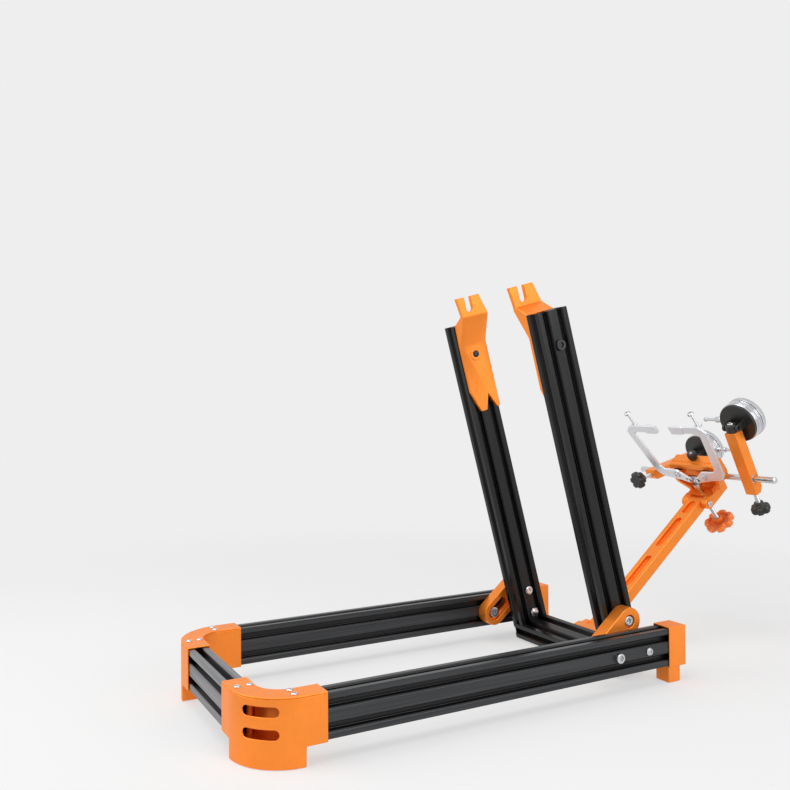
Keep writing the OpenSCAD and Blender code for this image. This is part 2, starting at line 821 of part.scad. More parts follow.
// Swivel on the screw's upper end, with the two pins that drive the jaws
module screw_swivel() {
    plate_a = jaw_back + 0.3;
    color(steel) in_head() difference() {
        union() {
            translate([0, screw_a, drive_b - 11.5]) cylinder(h = 5, r = adj_r + 1.7);
            translate([-adj_r - 1.5, plate_a, drive_b - 11.5])
                cube([2 * adj_r + 3, 3, 11]);
            translate([-drive_x - 3, plate_a, drive_b - 4])
                cube([2 * drive_x + 6, 3, 8]);
            both_sides() translate([drive_x, 0, drive_b]) {
                y_rod(jaw_front - 1.6, plate_a + 0.5, drive_r);
                y_rod(jaw_front - 1.6, jaw_front - 0.3, drive_r + 1.1);
            }
        }
        translate([0, screw_a, drive_b - 11.5 - over])
            cylinder(h = 5 + over, r = adj_r + fit_gap);
    }
}

module adjusting_screw() {
    color(steel) in_head() translate([0, screw_a, adj_bottom])
        cylinder(h = drive_b - 6.8 - adj_bottom, r = adj_r);
}

module adjusting_knob() {
    low = adj_bottom - 1;
    lobe_r = knob_r * 0.3;
    color(orange) in_head() translate([0, screw_a, low]) difference() {
        union() {
            difference() {
                linear_extrude(knob_h) union() {
                    circle(r = knob_r * 0.8);
                    for (lobe = [0 : knob_lobes - 1])
                        rotate(lobe * 360 / knob_lobes)
                            translate([knob_r - lobe_r, 0]) circle(r = lobe_r);
                }
                translate([0, 0, knob_h - 5])
                    cylinder(h = 5 + over, r = knob_r * 0.68);
            }
            cylinder(h = knob_h + 3, r = adj_r + 4);
        }
        translate([0, 0, 1]) cylinder(h = knob_h + 4, r = adj_r);
    }
}

// ---------------------------------------------------------------- jaws

module jaw_plan() {
    leg_in = jaw_out - jaw_leg;
    top_out = jaw_out + jaw_splay;
    top_in = top_out - jaw_leg;
    tip_x = jaw_gap / 2;
    difference() {
        union() {
            translate([jaw_x, jaw_b]) circle(r = jaw_lobe);
            polygon([
                [jaw_x - 2, jaw_b - jaw_lobe + 0.2], [jaw_out - 8, jaw_b - 3],
                [jaw_out, jaw_b + 6], [top_out, jaw_top - 9], [top_out - 9, jaw_top],
                [tip_x, jaw_top], [tip_x, jaw_top - 10], [top_in - 3, jaw_top - 10],
                [top_in, jaw_top - 14], [leg_in + 1, jaw_b + 15], [leg_in - 4, jaw_b + 9],
                [jaw_x - 2, jaw_b + jaw_lobe - 0.2],
            ]);
            translate([jaw_x, jaw_b]) rotate(180 + lever_angle) {
                translate([lever, 0]) circle(r = 4.3);
                polygon([[0, -jaw_lobe + 0.6], [lever, -4.3], [lever, 4.3],
                         [0, jaw_lobe - 0.6]]);
            }
        }
        translate([jaw_x, jaw_b]) circle(r = jaw_bolt_r);
        translate([jaw_x, jaw_b]) rotate(180 + lever_angle) translate([lever - 2.4, 0])
            obround(4, drive_r + drive_gap);
    }
}

module jaw() {
    tip_x = jaw_gap / 2;
    color([0.86, 0.86, 0.88]) in_head() difference() {
        union() {
            slab_y(jaw_front, jaw_back) jaw_plan();
            translate([tip_x, jaw_front - 1, jaw_top - 11]) cube([20, jaw_t + 2, 12]);
            translate([gauge_x - 4, jaw_front, jaw_top - 4]) cube([8, 11, 4]);
        }
        translate([gauge_x, screw_a + 5, jaw_top - 4 - over])
            cylinder(h = 4 + 2 * over, r = screw_r);
    }
}

module jaw_right() { jaw(); }

module jaw_left() { left_side() jaw(); }

module gauge_screw() {
    color(steel) in_head() translate([gauge_x, screw_a + 5, jaw_top]) {
        translate([0, 0, -6]) cylinder(h = gauge_h + 5, r = screw_r - fit_gap);
        translate([0, 0, gauge_h - 2]) cylinder(h = 3.5, r1 = 4.4, r2 = 3.4);
    }
}

module gauge_screw_right() { gauge_screw(); }

module gauge_screw_left() { left_side() gauge_screw(); }

// ---------------------------------------------------------------- cross rod and dial arms

module cross_rod() {
    color(steel) in_head() translate([0, head_mid, rod_b]) union() {
        x_rod(-rod_len / 2 + 1, rod_len / 2 - 1, rod_r);
        both_sides() translate([rod_len / 2 - 1, 0, 0]) rotate([0, 90, 0])
            cylinder(h = 1, r1 = rod_r, r2 = rod_r - 1);
    }
}

module arm_bush(x, turn) {
    half = dial_arm_w / 2;
    color(steel) in_dial_arm(x, turn) difference() {
        x_rod(-half, half, bush_r - fit_gap);
        x_rod(-half - over, half + over, rod_slide_r);
    }
}

module arm_bush_right() { arm_bush(right_arm_x, right_turn); }

module arm_bush_left() { arm_bush(left_arm_x, left_turn); }

module dial_arm(x, turn) {
    half = dial_arm_w / 2;
    thick = dial_arm_t / 2;
    low = -dial_arm_down;
    color(orange) in_dial_arm(x, turn) difference() {
        slab_x(-half, half) polygon([
            [-thick, dial_arm_up], [-thick, low], [thick - 5, low], [thick, low + 5],
            [thick, dial_arm_up],
        ]);
        x_rod(-half - over, half + over, bush_r);
        translate([0, 0, low - over])
            cylinder(h = dial_arm_down + over - bush_r + 0.5, r = adj_r);
        translate([0, 0, dial_arm_up - collar_depth - 1])
            cylinder(h = collar_depth + 1 + over, r = screw_r);
    }
}

module dial_arm_right() { dial_arm(right_arm_x, right_turn); }

module dial_arm_left() { dial_arm(left_arm_x, left_turn); }

// Black collar on the arm's end, with its screw and the gauge's swivel pin
module swivel_collar(x, turn) {
    color(black) in_dial_arm(x, turn) union() {
        translate([0, 0, dial_arm_up]) cylinder(h = 2 * swivel_up, r = 7);
        translate([0, 0, dial_arm_up + 2 * swivel_up - 0.5]) cylinder(h = 2.5, r = 3.8);
        translate([0, 0, dial_arm_up - collar_depth])
            cylinder(h = collar_depth + 1, r = screw_r - fit_gap);
        translate([0, 0, swivel_z]) x_rod(-swivel_reach, swivel_reach, swivel_pin_r);
    }
}

module swivel_collar_right() { swivel_collar(right_arm_x, right_turn); }

module swivel_collar_left() { swivel_collar(left_arm_x, left_turn); }

module star_knob(x, turn) {
    top = -dial_arm_down - stud_len;
    lobe_r = star_r / 3;
    color(black) in_dial_arm(x, turn) union() {
        translate([0, 0, top - star_h]) linear_extrude(star_h) union() {
            circle(r = star_r * 0.72);
            for (lobe = [0 : 5])
                rotate(lobe * 60) translate([star_r - lobe_r, 0]) circle(r = lobe_r);
        }
        translate([0, 0, top - 1]) cylinder(h = 4, r = star_r / 2);
        translate([0, 0, top]) cylinder(h = -top - bush_r - 0.4, r = adj_r - fit_gap);
    }
}

module star_knob_right() { star_knob(right_arm_x, right_turn); }

module star_knob_left() { star_knob(left_arm_x, left_turn); }

// ---------------------------------------------------------------- dial gauges

module dial_back() {
    color(black) difference() {
        union() {
            y_rod(dial_back_y, dial_back_y + dial_back_t, dial_r - 1.5);
            both_sides() slab_x(gauge_ear_in, gauge_ear_out) {
                circle(r = swivel_pin_r + 2);
                translate([0, -swivel_pin_r - 2])
                    square([dial_back_y + 0.5, 2 * swivel_pin_r + 4]);
            }
        }
        x_rod(-swivel_reach - over, swivel_reach + over, swivel_pin_r + fit_gap);
    }
}

// Case with its stem; side is -1 where the stem points to -X and 1 where to +X
module dial_case(side) {
    back = dial_back_y + dial_back_t;
    color(steel) difference() {
        union() {
            y_rod(back, face_y, dial_r - 0.5);
            difference() {
                y_rod(face_y - 0.5, face_y + 3, dial_r - 2.5);
                y_rod(face_y, face_y + 4, dial_r - 4);
            }
            scale([side, 1, 1]) translate([0, plunger_y, 0])
                x_rod(dial_r - 4, dial_r + stem_len, 2 * plunger_r);
        }
        scale([side, 1, 1]) translate([0, plunger_y, 0])
            x_rod(plunger_inner - plunger_travel - 0.5, dial_r + stem_len + over, plunger_r + fit_gap);
        y_rod(face_y - 4, face_y + over, 1 + fit_gap);
    }
}

module dial_bezel() {
    color(steel) difference() {
        union() {
            y_rod(face_y + 0.1, face_y + bezel_t - 1.5, dial_r);
            translate([0, face_y + bezel_t - 1.5, 0]) rotate([-90, 0, 0])
                cylinder(h = 1.5, r1 = dial_r, r2 = dial_r - 1.5);
        }
        y_rod(face_y - over, face_y + bezel_t - 1.2, dial_r - 2.5 + fit_gap);
        y_rod(face_y, face_y + bezel_t + over, dial_r - 4.2);
    }
}

module dial_crystal() {
    color([0.8, 0.9, 0.95, 0.4])
        y_rod(face_y + bezel_t - 2.7, face_y + bezel_t - 1.2, dial_r - 2.6);
}

module dial_pointer() {
    color(black) union() {
        y_rod(face_y - 3.5, face_y + 1.6, 1);
        y_rod(face_y + 0.6, face_y + 1.6, 2.4);
        slab_y(face_y + 0.8, face_y + 1.4)
            polygon([[-1.2, -6], [1.2, -6], [0.4, dial_r - 8], [-0.4, dial_r - 8]]);
    }
}

module dial_plunger(side) {
    outer = dial_r + stem_len + plunger_out;
    color(steel) scale([side, 1, 1]) translate([0, plunger_y, 0]) union() {
        x_rod(plunger_inner, outer - 3, plunger_r);
        x_rod(outer - 5, outer - 1.5, plunger_r + 0.8);
        translate([outer - 1.8, 0, 0]) sphere(r = 1.8);
    }
}

module dial_back_right() { in_dial(right_arm_x, right_turn, 0) dial_back(); }

module dial_back_left() { in_dial(left_arm_x, left_turn, left_swivel) dial_back(); }

module dial_case_right() { in_dial(right_arm_x, right_turn, 0) dial_case(-1); }

module dial_case_left() { in_dial(left_arm_x, left_turn, left_swivel) dial_case(1); }

module dial_bezel_right() { in_dial(right_arm_x, right_turn, 0) dial_bezel(); }

module dial_bezel_left() { in_dial(left_arm_x, left_turn, left_swivel) dial_bezel(); }

module dial_crystal_right() { in_dial(right_arm_x, right_turn, 0) dial_crystal(); }

module dial_crystal_left() { in_dial(left_arm_x, left_turn, left_swivel) dial_crystal(); }

module dial_pointer_right() { in_dial(right_arm_x, right_turn, 0) dial_pointer(); }

module dial_pointer_left() { in_dial(left_arm_x, left_turn, left_swivel) dial_pointer(); }

module dial_plunger_right() { in_dial(right_arm_x, right_turn, 0) dial_plunger(-1); }

module dial_plunger_left() { in_dial(left_arm_x, left_turn, left_swivel) dial_plunger(1); }

// ---------------------------------------------------------------- nodes

side_rail_right();
side_rail_left();
front_rail();
corner_casting_right();
corner_casting_left();
corner_cover_right();
corner_cover_left();
corner_screws();
rear_cap_right();
rear_cap_left();
tilt_bolts();
slot_bolts();
upright_right();
upright_left();
rear_rail();
link_bolts();
bracket_bolts();
clevis_block();
arm_pin();
link_right();
link_left();
axle_bracket_right();
axle_bracket_left();
caliper_arm();
head_pin();
caliper_head();
jaw_bolts();
screw_bushing();
rod_clamp_knob();
screw_swivel();
adjusting_screw();
adjusting_knob();
jaw_right();
jaw_left();
gauge_screw_right();
gauge_screw_left();
cross_rod();
arm_bush_right();
arm_bush_left();
dial_arm_right();
dial_arm_left();
swivel_collar_right();
swivel_collar_left();
star_knob_right();
star_knob_left();
dial_back_right();
dial_back_left();
dial_case_right();
dial_case_left();
dial_bezel_right();
dial_bezel_left();
dial_crystal_right();
dial_crystal_left();
dial_pointer_right();
dial_pointer_left();
dial_plunger_right();
dial_plunger_left();
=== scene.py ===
"""A bicycle wheel truing stand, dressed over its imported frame.

Each operator makes like pieces: rails, castings, screws, links, caliper or gauges.
"""

import json
import math

import bmesh
import bpy
import numpy as np
from bpy.props import FloatProperty, FloatVectorProperty, IntProperty, PointerProperty
from bpy.types import Operator, PropertyGroup
from mathutils import Euler, Matrix


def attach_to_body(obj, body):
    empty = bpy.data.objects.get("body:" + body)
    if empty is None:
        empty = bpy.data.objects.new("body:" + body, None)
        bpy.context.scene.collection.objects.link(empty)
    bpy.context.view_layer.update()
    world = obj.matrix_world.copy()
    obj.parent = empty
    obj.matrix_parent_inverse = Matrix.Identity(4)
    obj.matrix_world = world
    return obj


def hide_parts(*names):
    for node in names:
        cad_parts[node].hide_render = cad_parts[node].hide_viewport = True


bl_info = {
    "name": "Wheel truing stand",
    "version": (1, 0, 0),
    "blender": (4, 5, 0),
    "location": "3D View > Sidebar > Truing stand",
    "description": "Builds the visible pieces of a bicycle wheel truing stand over its frame",
    "category": "Object",
}

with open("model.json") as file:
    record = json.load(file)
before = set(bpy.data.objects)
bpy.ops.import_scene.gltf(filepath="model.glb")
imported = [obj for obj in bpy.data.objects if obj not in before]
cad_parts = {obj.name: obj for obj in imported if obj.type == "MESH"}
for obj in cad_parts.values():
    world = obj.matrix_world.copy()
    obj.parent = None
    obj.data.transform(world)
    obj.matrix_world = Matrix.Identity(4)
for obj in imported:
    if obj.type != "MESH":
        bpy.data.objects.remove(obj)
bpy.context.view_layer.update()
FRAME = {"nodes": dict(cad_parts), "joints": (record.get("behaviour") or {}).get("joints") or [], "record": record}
JOINTS = {joint["name"]: joint for joint in FRAME["joints"]}
BODY_OF = {
    node: body
    for body, nodes in FRAME["record"]["behaviour"]["bodies"].items()
    for node in nodes
}
MM = 0.001
SIDES = {"right": 1, "left": -1}


# -------- places on the stand


def place_of(joint):
    return np.array(JOINTS[joint]["pos_m"], float)


def leaning(origin, angle):
    """A frame turned by the angle about the stand's X axis: its origin, and its axes as rows."""
    c, s = math.cos(angle), math.sin(angle)
    return np.array(origin, float), np.array([[1, 0, 0], [0, c, s], [0, -s, c]])


def upright_frame():
    """Z runs up the uprights, and the origin is in the middle of the axis that they tilt on."""
    run = place_of("link_right_swing") - place_of("upright_tilt")
    return leaning(place_of("upright_tilt") * (0, 1, 1), math.atan2(-run[1], run[2]))


def head_frame():
    """Y runs along the swing arm, Z is square to it, and the origin is the pin under the head."""
    run = place_of("head_tilt") - place_of("arm_swing")
    return leaning(place_of("head_tilt"), math.atan2(run[2], run[1]))


def dial_arm_frame(side):
    """Z runs up the dial arm, and the origin is on the cross rod in the arm's middle."""
    run = place_of(f"dial_{side}_swivel") - place_of(f"dial_arm_{side}_turn")
    return leaning(place_of(f"dial_arm_{side}_turn"), math.atan2(-run[1], run[2]))


def dial_frame(side):
    """Y points out of the dial's face, and the origin is on the swivel pin."""
    axis = JOINTS[f"bezel_{side}_turn"]["axis"]
    return leaning(place_of(f"dial_{side}_swivel"), math.atan2(axis[2], axis[1]))


def spot_in(frame, joint):
    """A joint's place in a frame's millimetres."""
    return frame[1] @ (place_of(joint) - frame[0]) / MM


# -------- surfaces


def around(count):
    """Angles once round, without the last one, which is the first again."""
    return np.linspace(0, 2 * math.pi, count, endpoint=False)


def hexagon(count):
    """Outline of a hexagon: its radius at each angle, where 1 is a corner."""
    turn = np.mod(around(count), math.pi / 3) - math.pi / 6
    return math.cos(math.pi / 6) / np.cos(turn)


HEX = hexagon(48)


def star(count):
    """Outline of a six-lobed socket: 1 at a lobe, and a smooth hollow between two."""
    return 0.86 + 0.14 * np.cos(6 * around(count))


def scallops(count, lobes, depth):
    """Outline with round hollows: 1 less the depth times a cosine, held flat over each lobe,
    where the cosine is above a level."""
    level, sharpness = 0.35, 1.3
    wave = np.cos(lobes * around(count))
    return 1 - depth * np.clip((level - wave) / (1 + level), 0, 1) ** sharpness


def knurl(count, teeth, depth):
    """Outline with straight teeth: 1 less the depth times the height of a triangle wave."""
    saw = np.mod(around(count) * teeth / (2 * math.pi), 1)
    return 1 - depth * np.abs(2 * saw - 1)


def eased(rings, ease, steps=3):
    """Rounds the corners of a line of rings: each corner becomes a quadratic curve that leaves
    and meets its two neighbours at the ease's length, and never past half way."""
    back, corner, ahead = rings[:-2], rings[1:-1], rings[2:]
    ends = []
    for other in (back, ahead):
        way = other - corner
        length = np.linalg.norm(way, axis=-1, keepdims=True) + 1e-9
        ends.append(corner + way / length * np.minimum(ease, 0.48 * length))
    t = np.linspace(0, 1, steps + 1)[None, :, None, None]
    curve = (
        (1 - t) ** 2 * ends[0][:, None]
        + 2 * t * (1 - t) * corner[:, None]
        + t ** 2 * ends[1][:, None]
    )
    return np.concatenate([rings[:1], curve.reshape(-1, *rings.shape[1:]), rings[-1:]])


def both_ends(line):
    """A profile from one end to the middle, and on to the other end as its mirror image."""
    return line + [(radius, -height, *share) for radius, height, *share in reversed(line)]


def rings_round(radius, height, axis="z", spot=(0, 0, 0)):
    """Rings round an axis, from a radius for each ring and angle and a height for each."""
    angle = around(radius.shape[1])
    across, up = radius * np.cos(angle), radius * np.sin(angle)
    height = np.broadcast_to(height, radius.shape)
    order = {"x": (height, across, up), "y": (up, height, across), "z": (across, up, height)}
    return np.stack(order[axis], -1) + np.array(spot, float)


def profile_rings(line, axis, spot, count, outline):
    """A profile carried round an axis. Each point of the line is (radius, height, share), and the
    point at angle a lies at radius times (1 + share * (outline(a) - 1)) from the axis."""
    line = np.array([(*point, 0)[:3] for point in line], float)
    factor = np.ones(count) if outline is None else outline
    radius = line[:, :1] * (1 + line[:, 2:] * (factor[None] - 1))
    return rings_round(radius, line[:, 1:2], axis, spot)


def turned(line, axis="z", spot=(0, 0, 0), count=48, outline=None, ease=0.25):
    """A profile carried round an axis, with its corners rounded and its ends closed."""
    return skin(eased(profile_rings(line, axis, spot, count, outline), ease))


def ring_of(line, axis="z", spot=(0, 0, 0), outline=None):
    """A closed profile carried round an axis, with its corners rounded, that meets itself."""
    rings = profile_rings(line, axis, spot, count=64, outline=outline)
    wrapped = eased(np.concatenate([rings[-1:], rings, rings[:1]]), ease=0.3)[1:-1]
    return skin(wrapped, loop=True)


def threaded(low, high, radius, pitch, depth=0.3, spot=(0, 0, 0), count=32):
    """A screw thread: at height h and angle a the radius falls by the depth times the triangle
    wave of h / pitch less a whole turn of a."""
    height = np.arange(low, high, pitch / 4)[:, None]
    saw = np.mod(height / pitch - around(count)[None] / (2 * math.pi), 1)
    return skin(rings_round(radius - depth * np.abs(2 * saw - 1), height, spot=spot))


def carried(section, path, widths):
    """A closed section carried along a path: point j of ring i is path[i] plus section[j] scaled
    by widths[i], each given as X, Y and Z."""
    return skin(path[:, None] + section[None] * widths[:, None])


def skin(rings, loop=False):
    """Points and faces of a grid of rings, each closed on itself. Two poles close the ends, or
    the last ring meets the first."""
    rows, count = rings.shape[:2]
    index = np.arange(rows * count).reshape(rows, count)
    ahead = np.roll(index, -1, 1)
    low, high = (index, np.roll(index, -1, 0)) if loop else (index[:-1], index[1:])
    low_next, high_next = (ahead, np.roll(ahead, -1, 0)) if loop else (ahead[:-1], ahead[1:])
    quads = np.stack([low, low_next, high_next, high], -1).reshape(-1, 4).tolist()
    points = rings.reshape(-1, 3)
    if loop:
        return points, quads
    poles = np.stack([rings[0].mean(0), rings[-1].mean(0)])
    first, last = np.full(count, rows * count), np.full(count, rows * count + 1)
    bottom = np.stack([first, ahead[0], index[0]], -1).tolist()
    top = np.stack([last, index[-1], ahead[-1]], -1).tolist()
    return np.concatenate([points, poles]), quads + bottom + top


def boxes(centres, sizes, angles):
    """Small flat bars on the XZ plane: each has a centre, half sizes and a turn about Y."""
    corner = np.array([[x, y, z] for x in (-1, 1) for y in (-1, 1) for z in (-1, 1)], float)
    shape = corner[None] * sizes[:, None]
    c, s = np.cos(angles)[:, None], np.sin(angles)[:, None]
    x = shape[..., 0] * c + shape[..., 2] * s
    z = shape[..., 2] * c - shape[..., 0] * s
    points = np.stack([x, shape[..., 1], z], -1) + centres[:, None]
    face = np.array([
        [0, 1, 3, 2], [4, 6, 7, 5], [0, 4, 5, 1], [2, 3, 7, 6], [0, 2, 6, 4], [1, 5, 7, 3],
    ])
    faces = face[None] + 8 * np.arange(len(centres))[:, None, None]
    return points.reshape(-1, 3), faces.reshape(-1, 4).tolist()


def mirrored(part, sign=-1):
    """The part's mirror image at the stand's other side, or the part itself where sign is 1."""
    points, faces = part
    return points * (sign, 1, 1), [face[::sign] for face in faces]


def placed(axes, spot):
    """The matrix of an object with these axes, given as columns, at the spot."""
    return Matrix([[*row, at] for row, at in zip(axes, spot)] + [[0, 0, 0, 1]])


def new_object(name, data):
    obj = bpy.data.objects.new(name, data)
    bpy.context.scene.collection.objects.link(obj)
    return obj


def attach(obj, node, finish, stands=True):
    """Gives a mesh its finish, and the body of its CAD node, which it replaces if it stands."""
    obj.data.materials.append(bpy.data.materials[finish])
    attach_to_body(obj, BODY_OF[node])
    if stands:
        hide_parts(node)


def add_piece(name, parts, frame, node, finish="zinc_plated_steel", stands=True):
    """One object from parts in a frame's millimetres."""
    origin, axes = frame
    starts = np.cumsum([0] + [len(points) for points, _ in parts])
    points = origin + np.concatenate([points for points, _ in parts]) @ axes * MM
    faces = [[i + s for i in face] for s, (_, fs) in zip(starts, parts) for face in fs]
    mesh = bpy.data.meshes.new(name)
    mesh.from_pydata(points.tolist(), [], faces)
    mesh.shade_smooth()
    mesh.set_sharp_from_angle(angle=math.radians(38))
    attach(new_object(name, mesh), node, finish, stands)


def eased_copy(node, width, finish):
    """The CAD node's shape again with its edges rounded. Its loose triangles are merged, its flat
    faces joined, and the bevel takes the edges that turn by more than 30 degrees."""
    source = bmesh.new()
    source.from_mesh(FRAME["nodes"][node].data)
    bmesh.ops.remove_doubles(source, verts=source.verts, dist=0.002 * MM)
    bmesh.ops.dissolve_limit(
        source, angle_limit=math.radians(0.6), verts=source.verts, edges=source.edges,
    )
    source.verts.index_update()
    points = [v.co[:] for v in source.verts]
    faces = [[v.index for v in face.verts] for face in source.faces]
    source.free()
    mesh = bpy.data.meshes.new(f"{node}_eased")
    mesh.from_pydata(points, [], faces)
    mesh.shade_smooth()
    obj = new_object(mesh.name, mesh)
    bevel = obj.modifiers.new("eased_edges", "BEVEL")
    bevel.width, bevel.segments = width, 2
    bevel.limit_method, bevel.angle_limit = "ANGLE", math.radians(30)
    bevel.use_clamp_overlap = False
    bevel.miter_outer = "MITER_ARC"
    obj.modifiers.new("flat_faces", "WEIGHTED_NORMAL").weight = 80
    attach(obj, node, finish)


# -------- finishes


def linear(code):
    """An sRGB hex colour as the linear numbers that Blender mixes."""
    srgb = np.array([int(code[i:i + 2], 16) / 255 for i in (0, 2, 4)])
    mixed = np.where(srgb <= 0.04045, srgb / 12.92, ((srgb + 0.055) / 1.055) ** 2.4)
    return tuple(float(x) for x in mixed)


def shade(colour, factor):
    return (*(min(1.0, c * factor) for c in colour), 1.0)


def add_node(tree, kind, inputs=None, **settings):
    """Adds a shader node, with its settings and its inputs, each a value or a node's output."""
    made = tree.nodes.new(f"ShaderNode{kind}")
    for name, value in settings.items():
        setattr(made, name, value)
    for name, value in (inputs or {}).items():
        if isinstance(value, bpy.types.NodeSocket):
            tree.links.new(value, made.inputs[name])
        else:
            made.inputs[name].default_value = value
    return made


def new_finish(name):
    """An empty material: its tree, and the Object coordinates that its patterns read."""
    finish = bpy.data.materials.new(name)
    finish.use_nodes = True
    finish.node_tree.nodes.clear()
    return finish.node_tree, add_node(finish.node_tree, "TexCoord").outputs["Object"]


def surface(tree, shader):
    add_node(tree, "OutputMaterial", {"Surface": shader.outputs[0]})


def coated(tree, colour, gloss, roughness, swing, relief, strength, depth, shader):
    """Ends a finish. The gloss pattern moves the roughness down and up by the swing, and the
    relief pattern bends the light as bumps of the depth would."""
    rough = add_node(tree, "MapRange", {
        "Value": gloss.outputs[0], "From Min": 0.3, "From Max": 0.7,
        "To Min": max(0.02, roughness - swing[0]), "To Max": roughness + swing[1]})
    bump = add_node(tree, "Bump", {
        "Strength": strength, "Distance": depth, "Height": relief.outputs[0]})
    surface(tree, add_node(tree, "BsdfPrincipled", {
        "Base Color": colour.outputs[2], "Roughness": rough.outputs[0],
        "Normal": bump.outputs[0], **shader}))


def marks_along(tree, place, stretch, detail, fine=0.5, scale=1.0):
    """Noise on stretched coordinates: its marks run along the axis with the least stretch."""
    laid = add_node(tree, "Mapping", {"Vector": place, "Scale": stretch})
    return add_node(tree, "TexNoise", {
        "Vector": laid.outputs[0], "Scale": scale, "Detail": detail, "Roughness": fine})


def anodised_aluminium(name, colour, roughness, metallic, grain, fleck=0.16):
    """Aluminium, bead blasted and then dyed: an even satin, a fine sparkle of grit, and a dye
    that is a little deeper in some places than in others."""
    tree, place = new_finish(name)
    # Grit of about 0.15 mm, drawn coarser so that it shows
    grit = add_node(tree, "TexNoise", {
        "Vector": place, "Scale": 1 / grain, "Detail": 3.0, "Roughness": 0.6})
    # The dye's clouds are about 40 mm wide
    clouds = add_node(tree, "TexNoise", {
        "Vector": place, "Scale": 1 / (40 * MM), "Detail": 4.0, "Roughness": 0.5})
    tone = add_node(tree, "MapRange", {
        "Value": clouds.outputs[0], "From Min": 0.3, "From Max": 0.7})
    base = add_node(tree, "Mix", {
        0: tone.outputs[0], 6: shade(colour, 0.9), 7: shade(colour, 1.06)}, data_type="RGBA")
    specks = add_node(tree, "MapRange", {
        "Value": grit.outputs[0], "From Min": 0.35, "From Max": 0.65, "To Max": fleck})
    flecked = add_node(tree, "Mix", {
        0: specks.outputs[0], 6: base.outputs[2], 7: shade(colour, 1.5)}, data_type="RGBA")
    coated(tree, flecked, grit, roughness, (0.05, 0.07), grit, 0.35, 0.05 * MM,
           {"Metallic": metallic})


def depth_in_section(tree, along, node, turn):
    """How far a point lies inside the box round a rail's section, from the finish's coordinates turned so that the
    rail runs along Y. A mirrored pair of rails shares one box. It is the mask for the painted shade in the rails'
    slots."""
    points = np.array([v.co[:] for v in FRAME["nodes"][node].data.vertices])
    points = points @ np.array(Euler(turn).to_matrix()).T
    points[:, 0] = abs(points[:, 0])
    low, high = points.min(0), points.max(0)
    split = add_node(tree, "SeparateXYZ", {0: along}).outputs
    across = add_node(tree, "Math", {0: split[0]}, operation="ABSOLUTE")
    depths = []
    for axis, value in ((0, across.outputs[0]), (2, split[2])):
        middle = add_node(tree, "Math", {
            0: value, 1: float(low[axis] + high[axis]) / 2}, operation="SUBTRACT")
        off = add_node(tree, "Math", {0: middle.outputs[0]}, operation="ABSOLUTE")
        depths.append(add_node(tree, "Math", {
            0: float(high[axis] - low[axis]) / 2, 1: off.outputs[0]}, operation="SUBTRACT"))
    return add_node(tree, "Math", {
        0: depths[0].outputs[0], 1: depths[1].outputs[0]}, operation="MINIMUM")


def extruded_aluminium(name, colour, node, turn, metallic, roughness=0.3, slot_painted_shade=0.3):
    """Aluminium pushed through a die and anodised: fine straight lines run along the rail, with a satin sheen that
    is a little streaked, and slots darkened with painted shade. The turn brings the node's rail along Y."""
    tree, place = new_finish(name)
    along = add_node(tree, "Mapping", {"Vector": place, "Rotation": turn}).outputs[0]
    # Die lines 0.1 to 0.5 mm apart, drawn about 1.5 mm apart so that they show
    lines = marks_along(tree, along, (650.0, 6.0, 650.0), 3.0, 0.6)
    # Streaks in the sheen are about 8 mm apart
    streaks = marks_along(tree, along, (120.0, 9.0, 120.0), 2.0)
    tone = add_node(tree, "MapRange", {
        "Value": lines.outputs[0], "From Min": 0.35, "From Max": 0.7})
    base = add_node(tree, "Mix", {
        0: tone.outputs[0], 6: shade(colour, 0.75), 7: shade(colour, 1.35)}, data_type="RGBA")
    # Painted shade: the slots, 0.5 to 1.6 mm and more inside the rail's box, are darkened to the slot's painted
    # shade
    in_slot = add_node(tree, "MapRange", {
        "Value": depth_in_section(tree, along, node, turn).outputs[0],
        "From Min": 0.5 * MM, "From Max": 1.6 * MM})
    slot_shaded = add_node(tree, "Mix", {
        0: in_slot.outputs[0], 6: base.outputs[2], 7: shade(colour, slot_painted_shade)},
        data_type="RGBA")
    coated(tree, slot_shaded, streaks, roughness, (0.07, 0.08), lines, 0.3, 0.03 * MM,
           {"Metallic": metallic})


def moulded_plastic(name, colour, roughness):
    """Glass-filled nylon from a spark-eroded mould: black, with a soft even texture and a dull
    gloss that catches on rounded edges."""
    tree, place = new_finish(name)
    # Spark texture of about 0.2 mm, drawn at 0.9 mm so that it shows
    texture = add_node(tree, "TexNoise", {
        "Vector": place, "Scale": 1 / (0.9 * MM), "Detail": 2.0})
    tone = add_node(tree, "Mix", {
        0: texture.outputs[0], 6: shade(colour, 0.8), 7: shade(colour, 1.3)}, data_type="RGBA")
    coated(tree, tone, texture, roughness, (0.06, 0.08), texture, 0.4, 0.06 * MM,
           {"IOR": 1.53})


def bright_steel(name, colour, roughness, grain, stretch=(1.0, 1.0, 1.0), spread=0.18):
    """Steel, plated or ground: a clean mirror that grinding marks or the plating's small waves
    break up a little. The stretch lays the marks along one axis."""
    tree, place = new_finish(name)
    marks = marks_along(tree, place, stretch, 3.0, 0.55, 1 / grain)
    tone = add_node(tree, "Mix", {
        0: marks.outputs[0], 6: shade(colour, 1 - spread), 7: shade(colour, 1 + spread / 2)},
        data_type="RGBA")
    coated(tree, tone, marks, roughness, (0.06, 0.08), marks, spread, 0.02 * MM,
           {"Metallic": 1.0})


def dial_paint(name, colour, roughness):
    """Baked enamel or its print on a dial: even and nearly matt, with a faint unevenness."""
    tree, place = new_finish(name)
    # The enamel's unevenness is about 3 mm wide
    mottle = add_node(tree, "TexNoise", {
        "Vector": place, "Scale": 1 / (3 * MM), "Detail": 2.0})
    tone = add_node(tree, "Mix", {
        0: mottle.outputs[0], 6: shade(colour, 0.95), 7: shade(colour, 1.03)},
        data_type="RGBA")
    surface(tree, add_node(tree, "BsdfPrincipled", {
        "Base Color": tone.outputs[2], "Roughness": roughness, "IOR": 1.5}))


